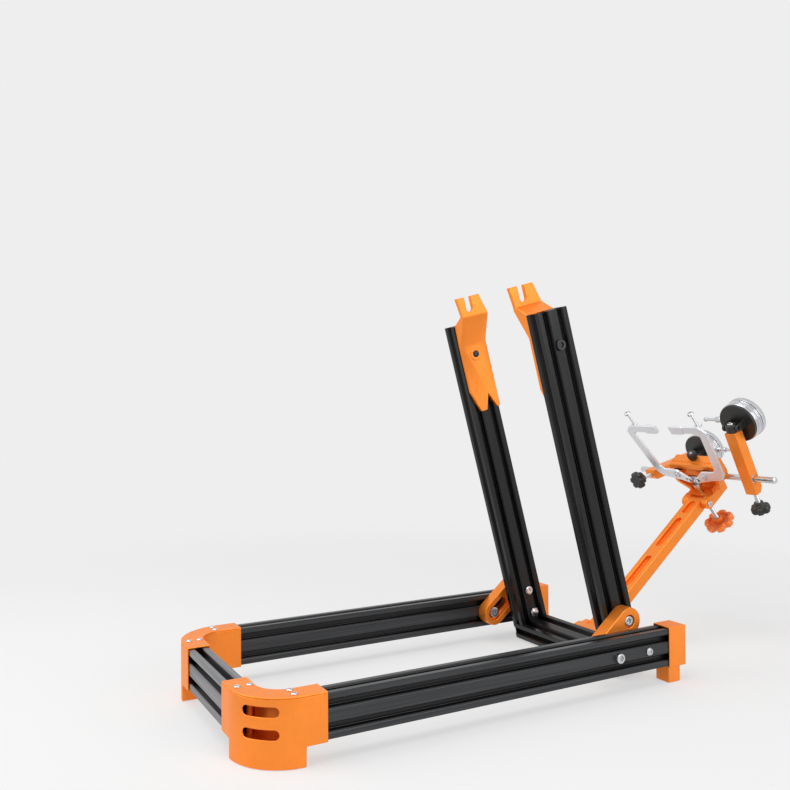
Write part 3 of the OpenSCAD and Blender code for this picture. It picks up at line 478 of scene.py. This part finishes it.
def clear_crystal(name):
    """Cast acrylic: clear, glossy, and with a few faint wiping marks in its gloss."""
    tree, place = new_finish(name)
    # Wiping marks are about 1.5 mm apart and ten times as long
    marks = marks_along(tree, place, (90.0, 700.0, 700.0), 2.0)
    rough = add_node(tree, "MapRange", {
        "Value": marks.outputs[0], "From Min": 0.55, "From Max": 0.75,
        "To Min": 0.02, "To Max": 0.07})
    surface(tree, add_node(tree, "BsdfPrincipled", {
        "Base Color": (1.0, 1.0, 1.0, 1.0), "Roughness": rough.outputs[0], "IOR": 1.49,
        "Transmission Weight": 1.0}))


# -------- settings


def dye(name, description, code):
    """A colour's setting, with an sRGB hex value as its default."""
    return FloatVectorProperty(
        name=name, description=description, subtype="COLOR", min=0, max=1,
        default=linear(code))


class FinishSettings(PropertyGroup):
    """Colours and gloss of the stand's finishes"""

    orange_dye: dye("Orange dye", "Colour of the castings, arms and brackets", "F98A2D")
    # The knob's own redder orange, made brighter as painted light, since the knob faces away from the lamps
    knob_dye_and_light: dye("Knob dye", "Colour of the adjusting knob", "FF8434")
    black_dye: dye("Black dye", "Colour of the uprights and the rail between them", "161617")
    # The side rails' colour is a lighter copy of the black dye: painted light, for rails that lie in more light
    # than the uprights
    base_dye_and_light: dye("Base dye", "Colour of the base's two side rails", "37383A")
    clear_coat: dye("Clear anodise", "Colour of the front rail", "808184")
    plastic_black: dye("Plastic black", "Colour of the moulded knobs and gauge backs", "1A1918")
    dial_white: dye("Dial white", "Colour of the dials' faces", "F1F0EA")
    dial_print: dye("Dial print", "Colour of the marks and numbers", "191919")
    satin: FloatProperty(
        name="Satin", description="Roughness of the orange finish",
        subtype="FACTOR", min=0, max=1, default=0.42)


def edge_width(name, description, millimetres):
    """An edge's setting, with its default in millimetres."""
    return FloatProperty(
        name=name, description=description, unit="LENGTH", min=0, default=millimetres * MM)


class EdgeSettings(PropertyGroup):
    """Widths of the rounded edges"""

    casting: edge_width("Casting", "Rounded edge of the castings and covers", 0.7)
    rail: edge_width("Rail", "Rounded edge of the extruded rails", 0.35)
    machined: edge_width("Machined", "Broken edge of the machined blocks and arms", 0.6)
    sheet: edge_width("Sheet", "Broken edge of the sheet metal jaws", 0.4)


class KnobSettings(PropertyGroup):
    """Shapes of the knobs"""

    knob_lobes: IntProperty(
        name="Knob lobes", description="Lobes round the orange adjusting knob",
        min=3, max=12, default=7)
    star_lobes: IntProperty(
        name="Star lobes", description="Lobes round the black clamping knobs",
        min=3, max=12, default=6)
    knurl_teeth: IntProperty(
        name="Knurl teeth", description="Teeth round the small black knob",
        min=12, max=60, default=28)
    thread_pitch: FloatProperty(
        name="Thread pitch", description="Pitch of the adjusting screw",
        unit="LENGTH", min=0.5 * MM, default=1.0 * MM)


class DialSettings(PropertyGroup):
    """Marks and rims of the dial gauges"""

    divisions: IntProperty(
        name="Divisions", description="Marks round a dial", min=20, max=200, default=100)
    numeral_height: FloatProperty(
        name="Number height", description="Height of the numbers on a dial",
        unit="LENGTH", min=1 * MM, default=3.4 * MM)
    rim_teeth: IntProperty(
        name="Rim teeth", description="Teeth round a turning bezel",
        min=30, max=180, default=90)


def lamp_power(name, description, watts):
    """A lamp's setting, with its default in watts."""
    return FloatProperty(
        name=name, description=description, subtype="POWER", min=0, default=watts)


class StageSettings(PropertyGroup):
    """Light and background"""

    backdrop: dye("Backdrop", "Colour of the floor and the background", "EEEEEE")
    key_power: lamp_power("Key lamp", "Power of the large lamp above", 16.0)
    side_power: lamp_power("Side lamp", "Power of the lamp at the camera's left", 11.0)
    right_power: lamp_power("Right lamp", "Power of the lamp at the camera's right", 15.0)
    ambient: FloatProperty(
        name="Ambient", description="Strength of the even light from all sides",
        min=0, max=2, default=0.42)


class StandSettings(PropertyGroup):
    """All the stand's settings"""

    finishes: PointerProperty(type=FinishSettings)
    edges: PointerProperty(type=EdgeSettings)
    knobs: PointerProperty(type=KnobSettings)
    dials: PointerProperty(type=DialSettings)
    stage: PointerProperty(type=StageSettings)


# -------- pieces


# Middles of the adjusting screw and the rod clamp's knob, in the head's frame, and of a gauge's
# stem, in the dial's frame
SCREW_SPOT = (0, 14.4, 0)
CLAMP_SPOT = (0, 32.5, 0)
STEM_SPOT = (0, 21.5, 0)


def add_bolt_pair(name, line, spot, frame, node, finish="zinc_plated_steel"):
    """A bolt along X on the right and its mirror image on the left, as one object."""
    right = turned(line, "x", spot, outline=HEX)
    add_piece(name, [right, mirrored(right)], frame, node, finish)


class STAND_OT_finishes(Operator):
    """Mixes the finishes that the pieces take"""

    bl_idname = "truing_stand.finishes"
    bl_label = "Mix the finishes"

    def execute(self, context):
        look = context.scene.truing_stand.finishes
        _, axes = upright_frame()
        lean = math.atan2(axes[1][2], axes[1][1])
        quarter = math.pi / 2
        anodised_aluminium("orange_casting", look.orange_dye, look.satin, 0.55, 1.6 * MM)
        anodised_aluminium("orange_machined", look.orange_dye, look.satin - 0.06, 0.6, 1.1 * MM)
        # The knob's colour is made brighter as painted light where it faces away from the lamps
        anodised_aluminium("orange_knob", look.knob_dye_and_light, 0.3, 0.0, 0.9 * MM, fleck=0.03)
        # The side rails take the lighter copy of the black dye as painted light
        extruded_aluminium("black_rail_lengthwise", look.base_dye_and_light, "side_rail_right", (0, 0, 0),
                           metallic=0.5)
        extruded_aluminium("black_rail_across", look.black_dye, "rear_rail",
                           (-lean, 0, quarter), metallic=0.4)
        extruded_aluminium("black_rail_upright", look.black_dye, "upright_right",
                           (quarter - lean, 0, 0), metallic=0.4)
        # The front rail's slots take painted shade that is nearly black
        extruded_aluminium("clear_rail_across", look.clear_coat, "front_rail", (0, 0, quarter),
                           metallic=0.9, roughness=0.36, slot_painted_shade=0.05)
        moulded_plastic("moulded_nylon", look.plastic_black, 0.38)
        moulded_plastic("black_oxide_steel", linear("161617"), 0.42)
        bright_steel("polished_chrome", linear("D2D3D6"), 0.09, 6 * MM, spread=0.1)
        bright_steel("zinc_plated_steel", linear("D3D4D6"), 0.22, 1.2 * MM)
        bright_steel("ground_rod_steel", linear("DADADB"), 0.16, 1.4 * MM, (3.0, 0.2, 0.2))
        bright_steel("pressed_jaw_steel", linear("E2E3E6"), 0.48, 1.5 * MM, (0.15, 1.0, 1.0),
                     spread=0.05)
        dial_paint("dial_enamel", look.dial_white, 0.45)
        dial_paint("dial_ink", look.dial_print, 0.5)
        clear_crystal("clear_acrylic")
        return {"FINISHED"}


class STAND_OT_rails(Operator):
    """Lays the slotted rails of the base and of the tilting frame"""

    bl_idname = "truing_stand.rails"
    bl_label = "Lay the slotted rails"

    def execute(self, context):
        edge = context.scene.truing_stand.edges.rail
        for side in SIDES:
            eased_copy(f"side_rail_{side}", edge, "black_rail_lengthwise")
            eased_copy(f"upright_{side}", edge, "black_rail_upright")
        eased_copy("rear_rail", edge, "black_rail_across")
        eased_copy("front_rail", edge, "clear_rail_across")
        return {"FINISHED"}


class STAND_OT_castings(Operator):
    """Sets the corner castings, their covers and the rear end caps"""

    bl_idname = "truing_stand.castings"
    bl_label = "Set the castings"

    def execute(self, context):
        edge = context.scene.truing_stand.edges.casting
        for side in SIDES:
            for node in ("corner_casting", "corner_cover", "rear_cap"):
                eased_copy(f"{node}_{side}", edge, "orange_casting")
        return {"FINISHED"}


class STAND_OT_base_screws(Operator):
    """Puts in the cover screws and the bolts of the base rails"""

    bl_idname = "truing_stand.base_screws"
    bl_label = "Put in the base's screws"

    def execute(self, context):
        frame = leaning((0, 0, 0), 0.0)
        button = [(1.3, -9), (1.6, -8.6), (1.6, 0), (3.0, 0), (3.04, 0.7), (2.5, 1.35),
                  (1.5, 1.7), (1.15, 1.65, 1), (1.1, 0.75, 1)]
        cover_top = 60.5
        spots = [(122, -207.5), (111, -207.5), (80.5, -244), (80.5, -233)]
        right = [turned(button, spot=(*spot, cover_top), outline=HEX, ease=0.2) for spot in spots]
        add_piece("cover_screws", right + [mirrored(part) for part in right], frame,
                  "corner_screws")
        pivot = [(3.4, 67), (3.95, 67.4), (3.95, 67.6), (6, 67.6, 1), (6, 71.7, 1),
                 (3.95, 71.8), (3.95, 92.3), (7.5, 92.4), (7.5, 107.6), (3.95, 107.7),
                 (3.95, 128), (4.3, 128.1), (4.3, 129.3), (3.1, 130.7), (2.3, 130.6, 1),
                 (2.2, 129.1, 1)]
        slide = [(3.6, 93), (6.3, 93.1), (6.4, 95.8), (3.95, 96), (3.95, 128), (5.2, 128.1),
                 (5.25, 132.3), (4.7, 133), (3.4, 132.9, 1), (3.2, 130.6, 1)]
        slot_bolt_y = 152
        _, tilt_y, tilt_z = place_of("upright_tilt") / MM
        add_bolt_pair("tilt_pivot_bolts", pivot, (0, tilt_y, tilt_z), frame, "tilt_bolts")
        add_bolt_pair("link_slot_bolts", slide, (0, slot_bolt_y, tilt_z), frame, "slot_bolts")
        return {"FINISHED"}


class STAND_OT_upright_bolts(Operator):
    """Puts in the bolts that the links and the axle brackets turn on"""

    bl_idname = "truing_stand.upright_bolts"
    bl_label = "Put in the uprights' bolts"

    def execute(self, context):
        frame = upright_frame()
        link = [(2.5, 70, 1), (2.6, 68.5, 1), (3.3, 68.4), (5.2, 68.7), (5.2, 71.9), (3.95, 72),
                (3.95, 103.5), (5.8, 103.6), (5.8, 106.6), (5.2, 107.2), (2.8, 107.1, 1),
                (2.6, 104.9, 1)]
        bracket = [(3.4, 64.8), (3.95, 65.2), (3.95, 91.9), (6, 92.1), (6, 94.7), (5.3, 95.4),
                   (3.2, 95.3, 1), (3, 93.5, 1)]
        add_bolt_pair("link_pivot_bolts", link,
                      spot_in(frame, "link_right_swing") * (0, 0, 1), frame, "link_bolts")
        add_bolt_pair("bracket_pivot_bolts", bracket,
                      spot_in(frame, "bracket_right_flip") * (0, 0, 1), frame,
                      "bracket_bolts", "black_oxide_steel")
        return {"FINISHED"}


class STAND_OT_links(Operator):
    """Hangs the slotted links and the axle brackets on the uprights"""

    bl_idname = "truing_stand.links"
    bl_label = "Hang the links and axle brackets"

    def execute(self, context):
        edge = context.scene.truing_stand.edges.machined
        for side in SIDES:
            eased_copy(f"link_{side}", edge, "orange_machined")
            eased_copy(f"axle_bracket_{side}", edge, "orange_machined")
        return {"FINISHED"}


class STAND_OT_swing_arm(Operator):
    """Hinges the swing arm on its block, with both of its pins"""

    bl_idname = "truing_stand.swing_arm"
    bl_label = "Hinge the swing arm"

    def execute(self, context):
        edge = context.scene.truing_stand.edges.machined
        eased_copy("clevis_block", edge, "orange_machined")
        eased_copy("caliper_arm", edge, "orange_machined")
        arm_length = np.linalg.norm(place_of("head_tilt") - place_of("arm_swing")) / MM
        for name, node, y, half in (
            ("arm_hinge_pin", "arm_pin", -arm_length, [
                (2.1, -21, 1), (2.2, -21.9, 1), (2.6, -22), (5.3, -22), (6, -21.3), (6, -20.1),
                (3.95, -20)]),
            ("head_hinge_pin", "head_pin", 0, [
                (1.3, -21.4, 1), (1.4, -22, 1), (1.8, -22.1), (3.5, -22.1), (4, -21.6),
                (4, -20.6), (2.95, -20.5)]),
        ):
            pin = turned(both_ends(half), "x", (0, y, 0), outline=HEX)
            add_piece(name, [pin], head_frame(), node)
        return {"FINISHED"}


class STAND_OT_caliper_head(Operator):
    """Builds the caliper head with its jaw bolts, bushing and rod clamp knob"""

    bl_idname = "truing_stand.caliper_head"
    bl_label = "Build the caliper head"

    def execute(self, context):
        settings = context.scene.truing_stand
        frame = head_frame()
        eased_copy("caliper_head", settings.edges.machined, "orange_machined")
        eased_copy("screw_swivel", settings.edges.sheet * 0.6, "zinc_plated_steel")
        bolt = [(1.8, 12.3, 1), (1.85, 11.5, 1), (2.3, 11.4), (4.1, 11.45), (4.6, 11.9),
                (4.6, 12.7), (2.95, 12.75), (2.95, 30.3), (2.5, 30.5)]
        bolts = [turned(bolt, "y", (x, 0, 35), outline=star(48), ease=0.15) for x in (-23, 23)]
        add_piece("jaw_pivot_bolts", bolts, frame, "jaw_bolts")
        bushing = ring_of([(3.05, -18), (4.6, -18), (5.2, -17.2), (5.2, -12.6), (4.9, -12.3),
                           (4.9, -12), (5.2, -11.7), (5.2, -7), (3.05, -7)], spot=SCREW_SPOT)
        # A grub screw through the bushing's wall, level and turned 40 degrees from the side
        points, faces = turned([(1.0, 0), (1.9, 0.2), (1.9, 5.3), (1.6, 5.7), (1.05, 5.7, 1),
                                (1.0, 4.9, 1)], outline=HEX, ease=0.1)
        x, y, out = points.T
        c, s = math.cos(math.radians(-40)), math.sin(math.radians(-40))
        grub_spot = np.array(SCREW_SPOT) + (0, 0, -12.5)
        grub = np.stack([out * c - x * s, out * s + x * c, y], -1) + grub_spot
        add_piece("screw_bushing_ring", [bushing, (grub, faces)], frame, "screw_bushing")
        knob = [(2.9, 25.4), (3.15, 25.8), (3.15, 49.2), (5, 49.4), (5.05, 50.8), (5.6, 51.1),
                (6.25, 51.9, 1), (6.25, 57.6, 1), (5.5, 58.9, 0.4), (4.6, 59.4), (2.1, 59.4),
                (2.0, 58.6)]
        teeth = knurl(8 * settings.knobs.knurl_teeth, settings.knobs.knurl_teeth, 0.07)
        add_piece("rod_clamp_knob_knurled", [turned(knob, spot=CLAMP_SPOT, outline=teeth)],
                  frame, "rod_clamp_knob", "moulded_nylon")
        insert = [(1.6, 57.5), (1.9, 57.6), (1.9, 59.1), (1.6, 59.3), (0.95, 59.2, 1),
                  (0.9, 58.6, 1)]
        add_piece("rod_clamp_knob_screw",
                  [turned(insert, spot=CLAMP_SPOT, outline=HEX, ease=0.1)], frame,
                  "rod_clamp_knob", stands=False)
        return {"FINISHED"}


class STAND_OT_adjuster(Operator):
    """Makes the adjusting screw with its thread and the dished orange knob"""

    bl_idname = "truing_stand.adjuster"
    bl_label = "Make the adjusting screw and knob"

    def execute(self, context):
        knobs = context.scene.truing_stand.knobs
        frame = head_frame()
        shank = [(2.5, -52.4), (2.75, -52), (2.75, 5), (3, 5.2), (3, 19.6), (2.5, 20.1)]
        thread = threaded(-41, 4.8, 3.0, knobs.thread_pitch / MM, spot=SCREW_SPOT)
        add_piece("adjusting_screw_threaded", [turned(shank, spot=SCREW_SPOT), thread], frame,
                  "adjusting_screw")
        knob = [(9, -53.5), (16, -53.5, 0.9), (19.2, -52.4, 1), (20, -50.6, 1), (20, -46.6, 1),
                (19, -44.3, 1), (17, -43.5, 1), (14.8, -43.7, 0.7), (13.4, -45.4, 0.35),
                (12.3, -47.9, 0.1), (10.6, -48.5), (7.9, -48.4), (7, -47.3), (6.6, -41.2),
                (6, -40.5), (3.05, -40.6), (3.0, -42)]
        lobes = scallops(252, knobs.knob_lobes, 0.2)
        add_piece("adjusting_knob_lobed",
                  [turned(knob, spot=SCREW_SPOT, outline=lobes, ease=0.7)], frame,
                  "adjusting_knob", "orange_knob")
        return {"FINISHED"}


class STAND_OT_jaws(Operator):
    """Fits the two jaws with their gauge screws"""

    bl_idname = "truing_stand.jaws"
    bl_label = "Fit the jaws"

    def execute(self, context):
        settings = context.scene.truing_stand
        frame = head_frame()
        screw = [(1.2, -6), (1.35, -5.7), (1.35, 15.9), (4.1, 16), (4.4, 16.5), (3.9, 18.6),
                 (2.9, 19.45), (1.3, 19.5, 1), (1.2, 18, 1)]
        pitch = settings.knobs.thread_pitch / MM * 0.7
        screw_seat = (0, 0, 120)
        for side, sign in SIDES.items():
            eased_copy(f"jaw_{side}", settings.edges.sheet, "pressed_jaw_steel")
            at = spot_in(frame, f"gauge_screw_{side}_turn")
            spot = np.abs(at) * (1, 1, 0) + screw_seat
            parts = [turned(screw, spot=spot, outline=HEX, ease=0.2),
                     threaded(-5.5, 15.9, 1.55, pitch, 0.2, spot)]
            add_piece(f"gauge_screw_{side}_threaded", [mirrored(part, sign) for part in parts],
                      frame, f"gauge_screw_{side}")
        return {"FINISHED"}


class STAND_OT_cross_rod(Operator):
    """Slides in the cross rod, the bushes and the two dial arms"""

    bl_idname = "truing_stand.cross_rod"
    bl_label = "Slide in the cross rod and dial arms"

    def execute(self, context):
        edge = context.scene.truing_stand.edges.machined
        frame = head_frame()
        spot = spot_in(frame, "dial_arm_right_turn") * (0, 1, 1)
        rod = both_ends([(2.6, -111), (3.4, -110.7), (4, -109.6)])
        add_piece("cross_rod_ground", [turned(rod, "x", spot)], frame, "cross_rod",
                  "ground_rod_steel")
        bush = ring_of([(4.05, -7), (5.5, -7), (5.5, 7), (4.05, 7)], "x")
        for side in SIDES:
            eased_copy(f"dial_arm_{side}", edge, "orange_machined")
            add_piece(f"arm_bush_{side}_turned", [bush], dial_arm_frame(side),
                      f"arm_bush_{side}")
        return {"FINISHED"}


class STAND_OT_clamps(Operator):
    """Adds the swivel collars and the black star knobs to the dial arms"""

    bl_idname = "truing_stand.clamps"
    bl_label = "Add the collars and star knobs"

    def execute(self, context):
        knobs = context.scene.truing_stand.knobs
        lobes = scallops(216, knobs.star_lobes, 0.24)
        collar = [(5.2, 67), (6.9, 67.1), (7, 68), (7, 75.6), (6.3, 76.9), (4.1, 77),
                  (3.0, 76.8)]
        pin = both_ends([(2.1, -12), (2.5, -11.5)])
        screw = [(3.2, 76.7), (3.75, 76.8), (3.8, 78), (3.4, 78.8), (2.4, 79), (1.8, 78.9, 1),
                 (1.7, 77.6, 1)]
        knob = [(5, -49.5), (8.6, -49.5, 0.6), (11, -48.8, 1), (12, -47, 1), (12, -42.4, 1),
                (11.2, -40.2, 1), (9.3, -39.3, 0.9), (7.2, -38.9, 0.4), (6.2, -38),
                (5.9, -35), (5.2, -34.5), (3.1, -34.6)]
        stud = [(2.2, -36), (2.65, -35.6), (2.65, -6.4), (2.2, -6)]
        thread = threaded(-35.5, -6.5, 2.95, knobs.thread_pitch / MM)
        for side in SIDES:
            frame = dial_arm_frame(side)
            for node, name, parts, moulded in (
                ("swivel_collar", "moulded", [turned(collar), turned(pin, "x")], True),
                ("swivel_collar", "screw", [turned(screw, outline=HEX, ease=0.2)], False),
                ("star_knob", "moulded", [turned(knob, outline=lobes, ease=0.6)], True),
                ("star_knob", "stud", [turned(stud), thread], False),
            ):
                finish = "moulded_nylon" if moulded else "zinc_plated_steel"
                add_piece(f"{node}_{side}_{name}", parts, frame, f"{node}_{side}", finish,
                          stands=moulded)
        return {"FINISHED"}


class STAND_OT_dial_cases(Operator):
    """Builds the dial gauges' backs, grooved cases, bezels, crystals and plungers"""

    bl_idname = "truing_stand.dial_cases"
    bl_label = "Build the gauges' cases"

    def execute(self, context):
        settings = context.scene.truing_stand
        teeth = knurl(4 * settings.dials.rim_teeth, settings.dials.rim_teeth, 0.02)
        case = [(24, 14.5), (25.4, 14.6), (26, 15.2), (26, 16.6), (24.9, 17), (24.9, 18.1),
                (26, 18.5), (26, 21.9), (24.9, 22.3), (24.9, 23.2), (26, 23.6), (26, 25.3),
                (25.2, 26.3), (24, 26.5), (24, 29.4), (22.6, 29.4), (22.5, 26.6)]
        bezel = [(24.1, 26.6), (26.2, 26.6), (26.5, 27, 1), (26.5, 31.6, 1), (26.1, 32.2),
                 (24.9, 33.4), (22.9, 33.4), (22.35, 32.6), (22.3, 32.3), (24.05, 32.2)]
        crystal = [(23.4, 30.8), (23.85, 30.9), (23.85, 32.1), (22.2, 32.2), (15, 32.26),
                   (6, 32.29)]
        stem = [(3.4, 22), (4, 22.2), (4, 31), (3.8, 31.2), (3.8, 31.8), (4, 32), (4, 38.9),
                (3.6, 39.5), (2.1, 39.5), (2.05, 37)]
        plunger = [(1.4, 15.5), (2, 15.8), (2, 54.2), (2.8, 54.5), (2.8, 57.8), (1.9, 58.2),
                   (1.7, 58.6), (1.2, 59.2), (0.6, 59.48)]
        for side, sign in SIDES.items():
            frame = dial_frame(side)
            eased_copy(f"dial_back_{side}", settings.edges.machined * 0.8, "moulded_nylon")
            # Stem and plunger point to the middle of the stand
            stem_rod, plunger_rod = (
                mirrored(turned(line, "x", STEM_SPOT), -sign) for line in (stem, plunger))
            for name, shape, parts, finish in (
                ("case", "turned", [turned(case, "y", count=96, ease=0.2), stem_rod],
                 "polished_chrome"),
                ("plunger", "turned", [plunger_rod], "polished_chrome"),
                ("bezel", "knurled", [ring_of(bezel, "y", outline=teeth)], "polished_chrome"),
                ("crystal", "domed", [turned(crystal, "y", count=96, ease=0.3)],
                 "clear_acrylic"),
            ):
                add_piece(f"dial_{name}_{side}_{shape}", parts, frame, f"dial_{name}_{side}",
                          finish)
        return {"FINISHED"}


class STAND_OT_dial_faces(Operator):
    """Prints the dials' faces and sets their pointers"""

    bl_idname = "truing_stand.dial_faces"
    bl_label = "Print the dial faces"

    def execute(self, context):
        dials = context.scene.truing_stand.dials
        step = np.arange(dials.divisions)
        half = np.where(step % 10 == 0, 1.5, np.where(step % 5 == 0, 1.15, 0.75))
        wide = np.where(step % 10 == 0, 0.22, 0.13)
        rim, tick_y, hand_y = 21.2, 26.83, 27.6
        centres = rings_round((rim - half)[None], tick_y, "y")[0]
        ticks = boxes(centres, np.stack([wide, np.full_like(wide, 0.05), half], -1),
                      around(dials.divisions))
        # A tapered hand: a flat octagon carried from tail to tip, widest at the tail
        angle = around(8) + math.pi / 8
        section = np.stack([np.cos(angle), 0.5 * np.sin(angle), np.zeros(8)], -1)
        reach = np.array([-6, -5.7, 0, 18.2, 18.5])
        width = np.array([0.9, 1.2, 1.0, 0.42, 0.2])
        path = np.stack([np.zeros(5), np.full(5, hand_y), reach], -1)
        hand = carried(section, path, np.stack([width, np.full(5, 0.55), width], -1))
        hub = [(1, 23.1), (1, 26.9), (2.3, 27), (2.4, 27.4), (1.8, 28.05), (0.8, 28.1)]
        face = [(21, 26.5), (22.3, 26.52), (22.3, 26.78), (21, 26.8)]
        for side in SIDES:
            frame, case = dial_frame(side), f"dial_case_{side}"
            add_piece(f"dial_face_{side}", [turned(face, "y", count=96, ease=0.05)], frame,
                      case, "dial_enamel", stands=False)
            add_piece(f"dial_marks_{side}", [ticks], frame, case, "dial_ink", stands=False)
            self.numbers(side, dials.numeral_height)
            add_piece(f"dial_hand_{side}", [hand, turned(hub, "y", ease=0.15)], frame,
                      f"dial_pointer_{side}", "dial_ink")
        return {"FINISHED"}

    def numbers(self, side, height):
        """Plain numbers at every tenth mark, made meshes and laid on the dial's face."""
        origin, axes = dial_frame(side)
        # Seen from the front of the dial the numbers run clockwise from the top
        across, up, out = -axes[0], axes[2], axes[1]
        centre, ring = origin + out * 26.84 * MM, 15.6 * MM
        joined = bmesh.new()
        for step in range(10):
            text = bpy.data.curves.new(f"number_{side}_{step}", "FONT")
            text.body = str(step * 10)
            # The font's digits are 1 / 1.35 of its size high
            text.size = height * 1.35
            text.align_x, text.align_y = "CENTER", "CENTER"
            text.extrude = 0.04 * MM
            carrier = new_object(text.name, text)
            bpy.context.view_layer.update()
            shape = carrier.evaluated_get(bpy.context.evaluated_depsgraph_get()).to_mesh()
            turn = step * math.pi / 5
            middle = centre + (across * math.sin(turn) + up * math.cos(turn)) * ring
            shape.transform(placed(np.stack([across, up, out], -1), middle))
            joined.from_mesh(shape)
            bpy.data.objects.remove(carrier)
        mesh = bpy.data.meshes.new(f"dial_numbers_{side}")
        bmesh.ops.remove_doubles(joined, verts=joined.verts, dist=0.001 * MM)
        joined.to_mesh(mesh)
        joined.free()
        attach(new_object(mesh.name, mesh), f"dial_case_{side}", "dial_ink", stands=False)


# -------- stage


class STAND_OT_stage(Operator):
    """Sets the pale floor, the soft light and the camera"""

    bl_idname = "truing_stand.stage"
    bl_label = "Set the stage"

    def execute(self, context):
        stage = context.scene.truing_stand.stage
        context.scene.view_settings.view_transform = "Standard"
        self.camera(context)
        self.world(context, stage)
        self.floor(stage)
        # Above, low at the camera's left, and wide at its right
        for name, power, size, place, target in (
            ("key_lamp", stage.key_power, 1.5, (0.1, -0.5, 1.75), (0, 0.05, 0.15)),
            ("side_lamp", stage.side_power, 1.1, (-0.5, -1.5, 0.9), (0, 0, 0.15)),
            ("right_lamp", stage.right_power, 1.3, (1.7, 0.5, 0.75), (0, 0.05, 0.12)),
        ):
            self.lamp(name, power, size, place, target)
        return {"FINISHED"}

    def camera(self, context):
        """Where the photograph was taken from: 61.4 degrees round, nearly level."""
        azimuth, elevation, roll = (math.radians(x) for x in (61.42, -0.69, -0.41))
        right = np.array([math.cos(azimuth), math.sin(azimuth), 0])
        back = np.array([math.sin(azimuth) * math.cos(elevation),
                         -math.cos(azimuth) * math.cos(elevation), math.sin(elevation)])
        up = np.cross(back, right)
        c, s = math.cos(roll), math.sin(roll)
        data = bpy.data.cameras.new("camera")
        data.lens, data.sensor_width = 37.89, 36.0
        camera = new_object("camera", data)
        axes = np.stack([c * right + s * up, c * up - s * right, back], -1)
        camera.matrix_world = placed(axes, (0.7839, -0.4691, 0.3045))
        context.scene.camera = camera

    def lamp(self, name, power, size, place, target):
        data = bpy.data.lights.new(name, "AREA")
        data.energy, data.size, data.shape = power, size, "DISK"
        back = np.array(place, float) - np.array(target, float)
        back /= np.linalg.norm(back)
        right = np.cross((0.0, 0.0, 1.0), back)
        right /= np.linalg.norm(right)
        axes = np.stack([right, np.cross(back, right), back], -1)
        new_object(name, data).matrix_world = placed(axes, place)

    def seen(self, tree):
        """1 for the rays that look straight at, or see in metal and glass, the background."""
        rays = add_node(tree, "LightPath").outputs
        total = add_node(tree, "Math", {
            0: rays["Is Camera Ray"], 1: rays["Is Glossy Ray"]}, operation="MAXIMUM")
        return add_node(tree, "Math", {
            0: total.outputs[0], 1: rays["Is Transmission Ray"]},
            operation="MAXIMUM").outputs[0]

    def world(self, context, stage):
        world = bpy.data.worlds.new("pale_room")
        context.scene.world = world
        world.use_nodes = True
        tree = world.node_tree
        tree.nodes.clear()
        shown = add_node(tree, "Background", {
            "Color": (*stage.backdrop, 1.0), "Strength": 1.0})
        light = add_node(tree, "Background", {
            "Color": (1.0, 1.0, 1.0, 1.0), "Strength": stage.ambient})
        mixed = add_node(tree, "MixShader", {
            0: self.seen(tree), 1: light.outputs[0], 2: shown.outputs[0]})
        add_node(tree, "OutputWorld", {"Surface": mixed.outputs[0]})

    def floor(self, stage):
        """A round pale floor that keeps a soft shadow near the stand and fades to the backdrop."""
        radius = np.array([[0.01], [0.5], [1.0], [2.0], [8.0]]) * np.ones(96)
        points, faces = skin(rings_round(radius, -0.4 * MM))
        # Without the wide fan that would close the outermost ring
        faces = [face[::-1] for face in faces if len(points) - 1 not in face]
        mesh = bpy.data.meshes.new("floor")
        mesh.from_pydata(points.tolist(), [], faces)
        floor = new_object("floor", mesh)
        tree, place = new_finish("matt_floor")
        away = add_node(tree, "VectorMath", {0: place}, operation="LENGTH")
        fade = add_node(tree, "MapRange", {
            "Value": away.outputs["Value"], "From Min": 0.45, "From Max": 1.3,
            "To Min": 0.62, "To Max": 1.0}, interpolation_type="SMOOTHSTEP")
        share = add_node(tree, "Math", {
            0: fade.outputs[0], 1: self.seen(tree)}, operation="MULTIPLY")
        paper = add_node(tree, "BsdfDiffuse", {"Color": (*stage.backdrop, 1.0)})
        shown = add_node(tree, "Emission", {"Color": (*stage.backdrop, 1.0), "Strength": 1.0})
        surface(tree, add_node(tree, "MixShader", {
            0: share.outputs[0], 1: paper.outputs[0], 2: shown.outputs[0]}))
        mesh.materials.append(bpy.data.materials["matt_floor"])


STEPS = (
    STAND_OT_finishes, STAND_OT_stage, STAND_OT_rails, STAND_OT_castings,
    STAND_OT_base_screws, STAND_OT_upright_bolts, STAND_OT_links, STAND_OT_swing_arm,
    STAND_OT_caliper_head, STAND_OT_adjuster, STAND_OT_jaws, STAND_OT_cross_rod,
    STAND_OT_clamps, STAND_OT_dial_cases, STAND_OT_dial_faces,
)


class STAND_PT_panel(bpy.types.Panel):
    """Lists the stand's settings and steps"""

    bl_idname = "STAND_PT_panel"
    bl_label = "Wheel truing stand"
    bl_space_type = "VIEW_3D"
    bl_region_type = "UI"
    bl_category = "Truing stand"

    def draw(self, context):
        settings = context.scene.truing_stand
        for name in ("finishes", "edges", "knobs", "dials", "stage"):
            group = getattr(settings, name)
            column = self.layout.column(align=True)
            column.label(text=name.capitalize())
            for key in group.__annotations__:
                column.prop(group, key)
        column = self.layout.column(align=True)
        for step in STEPS:
            column.operator(step.bl_idname)


CLASSES = (
    FinishSettings, EdgeSettings, KnobSettings, DialSettings, StageSettings, StandSettings,
    *STEPS, STAND_PT_panel,
)


def register():
    for made in CLASSES:
        bpy.utils.register_class(made)
    bpy.types.Scene.truing_stand = PointerProperty(type=StandSettings)


def unregister():
    del bpy.types.Scene.truing_stand
    for made in reversed(CLASSES):
        bpy.utils.unregister_class(made)


def main():
    register()
    for step in STEPS:
        getattr(bpy.ops.truing_stand, step.bl_idname.split(".")[1])()


if __name__ == "__main__":
    main()
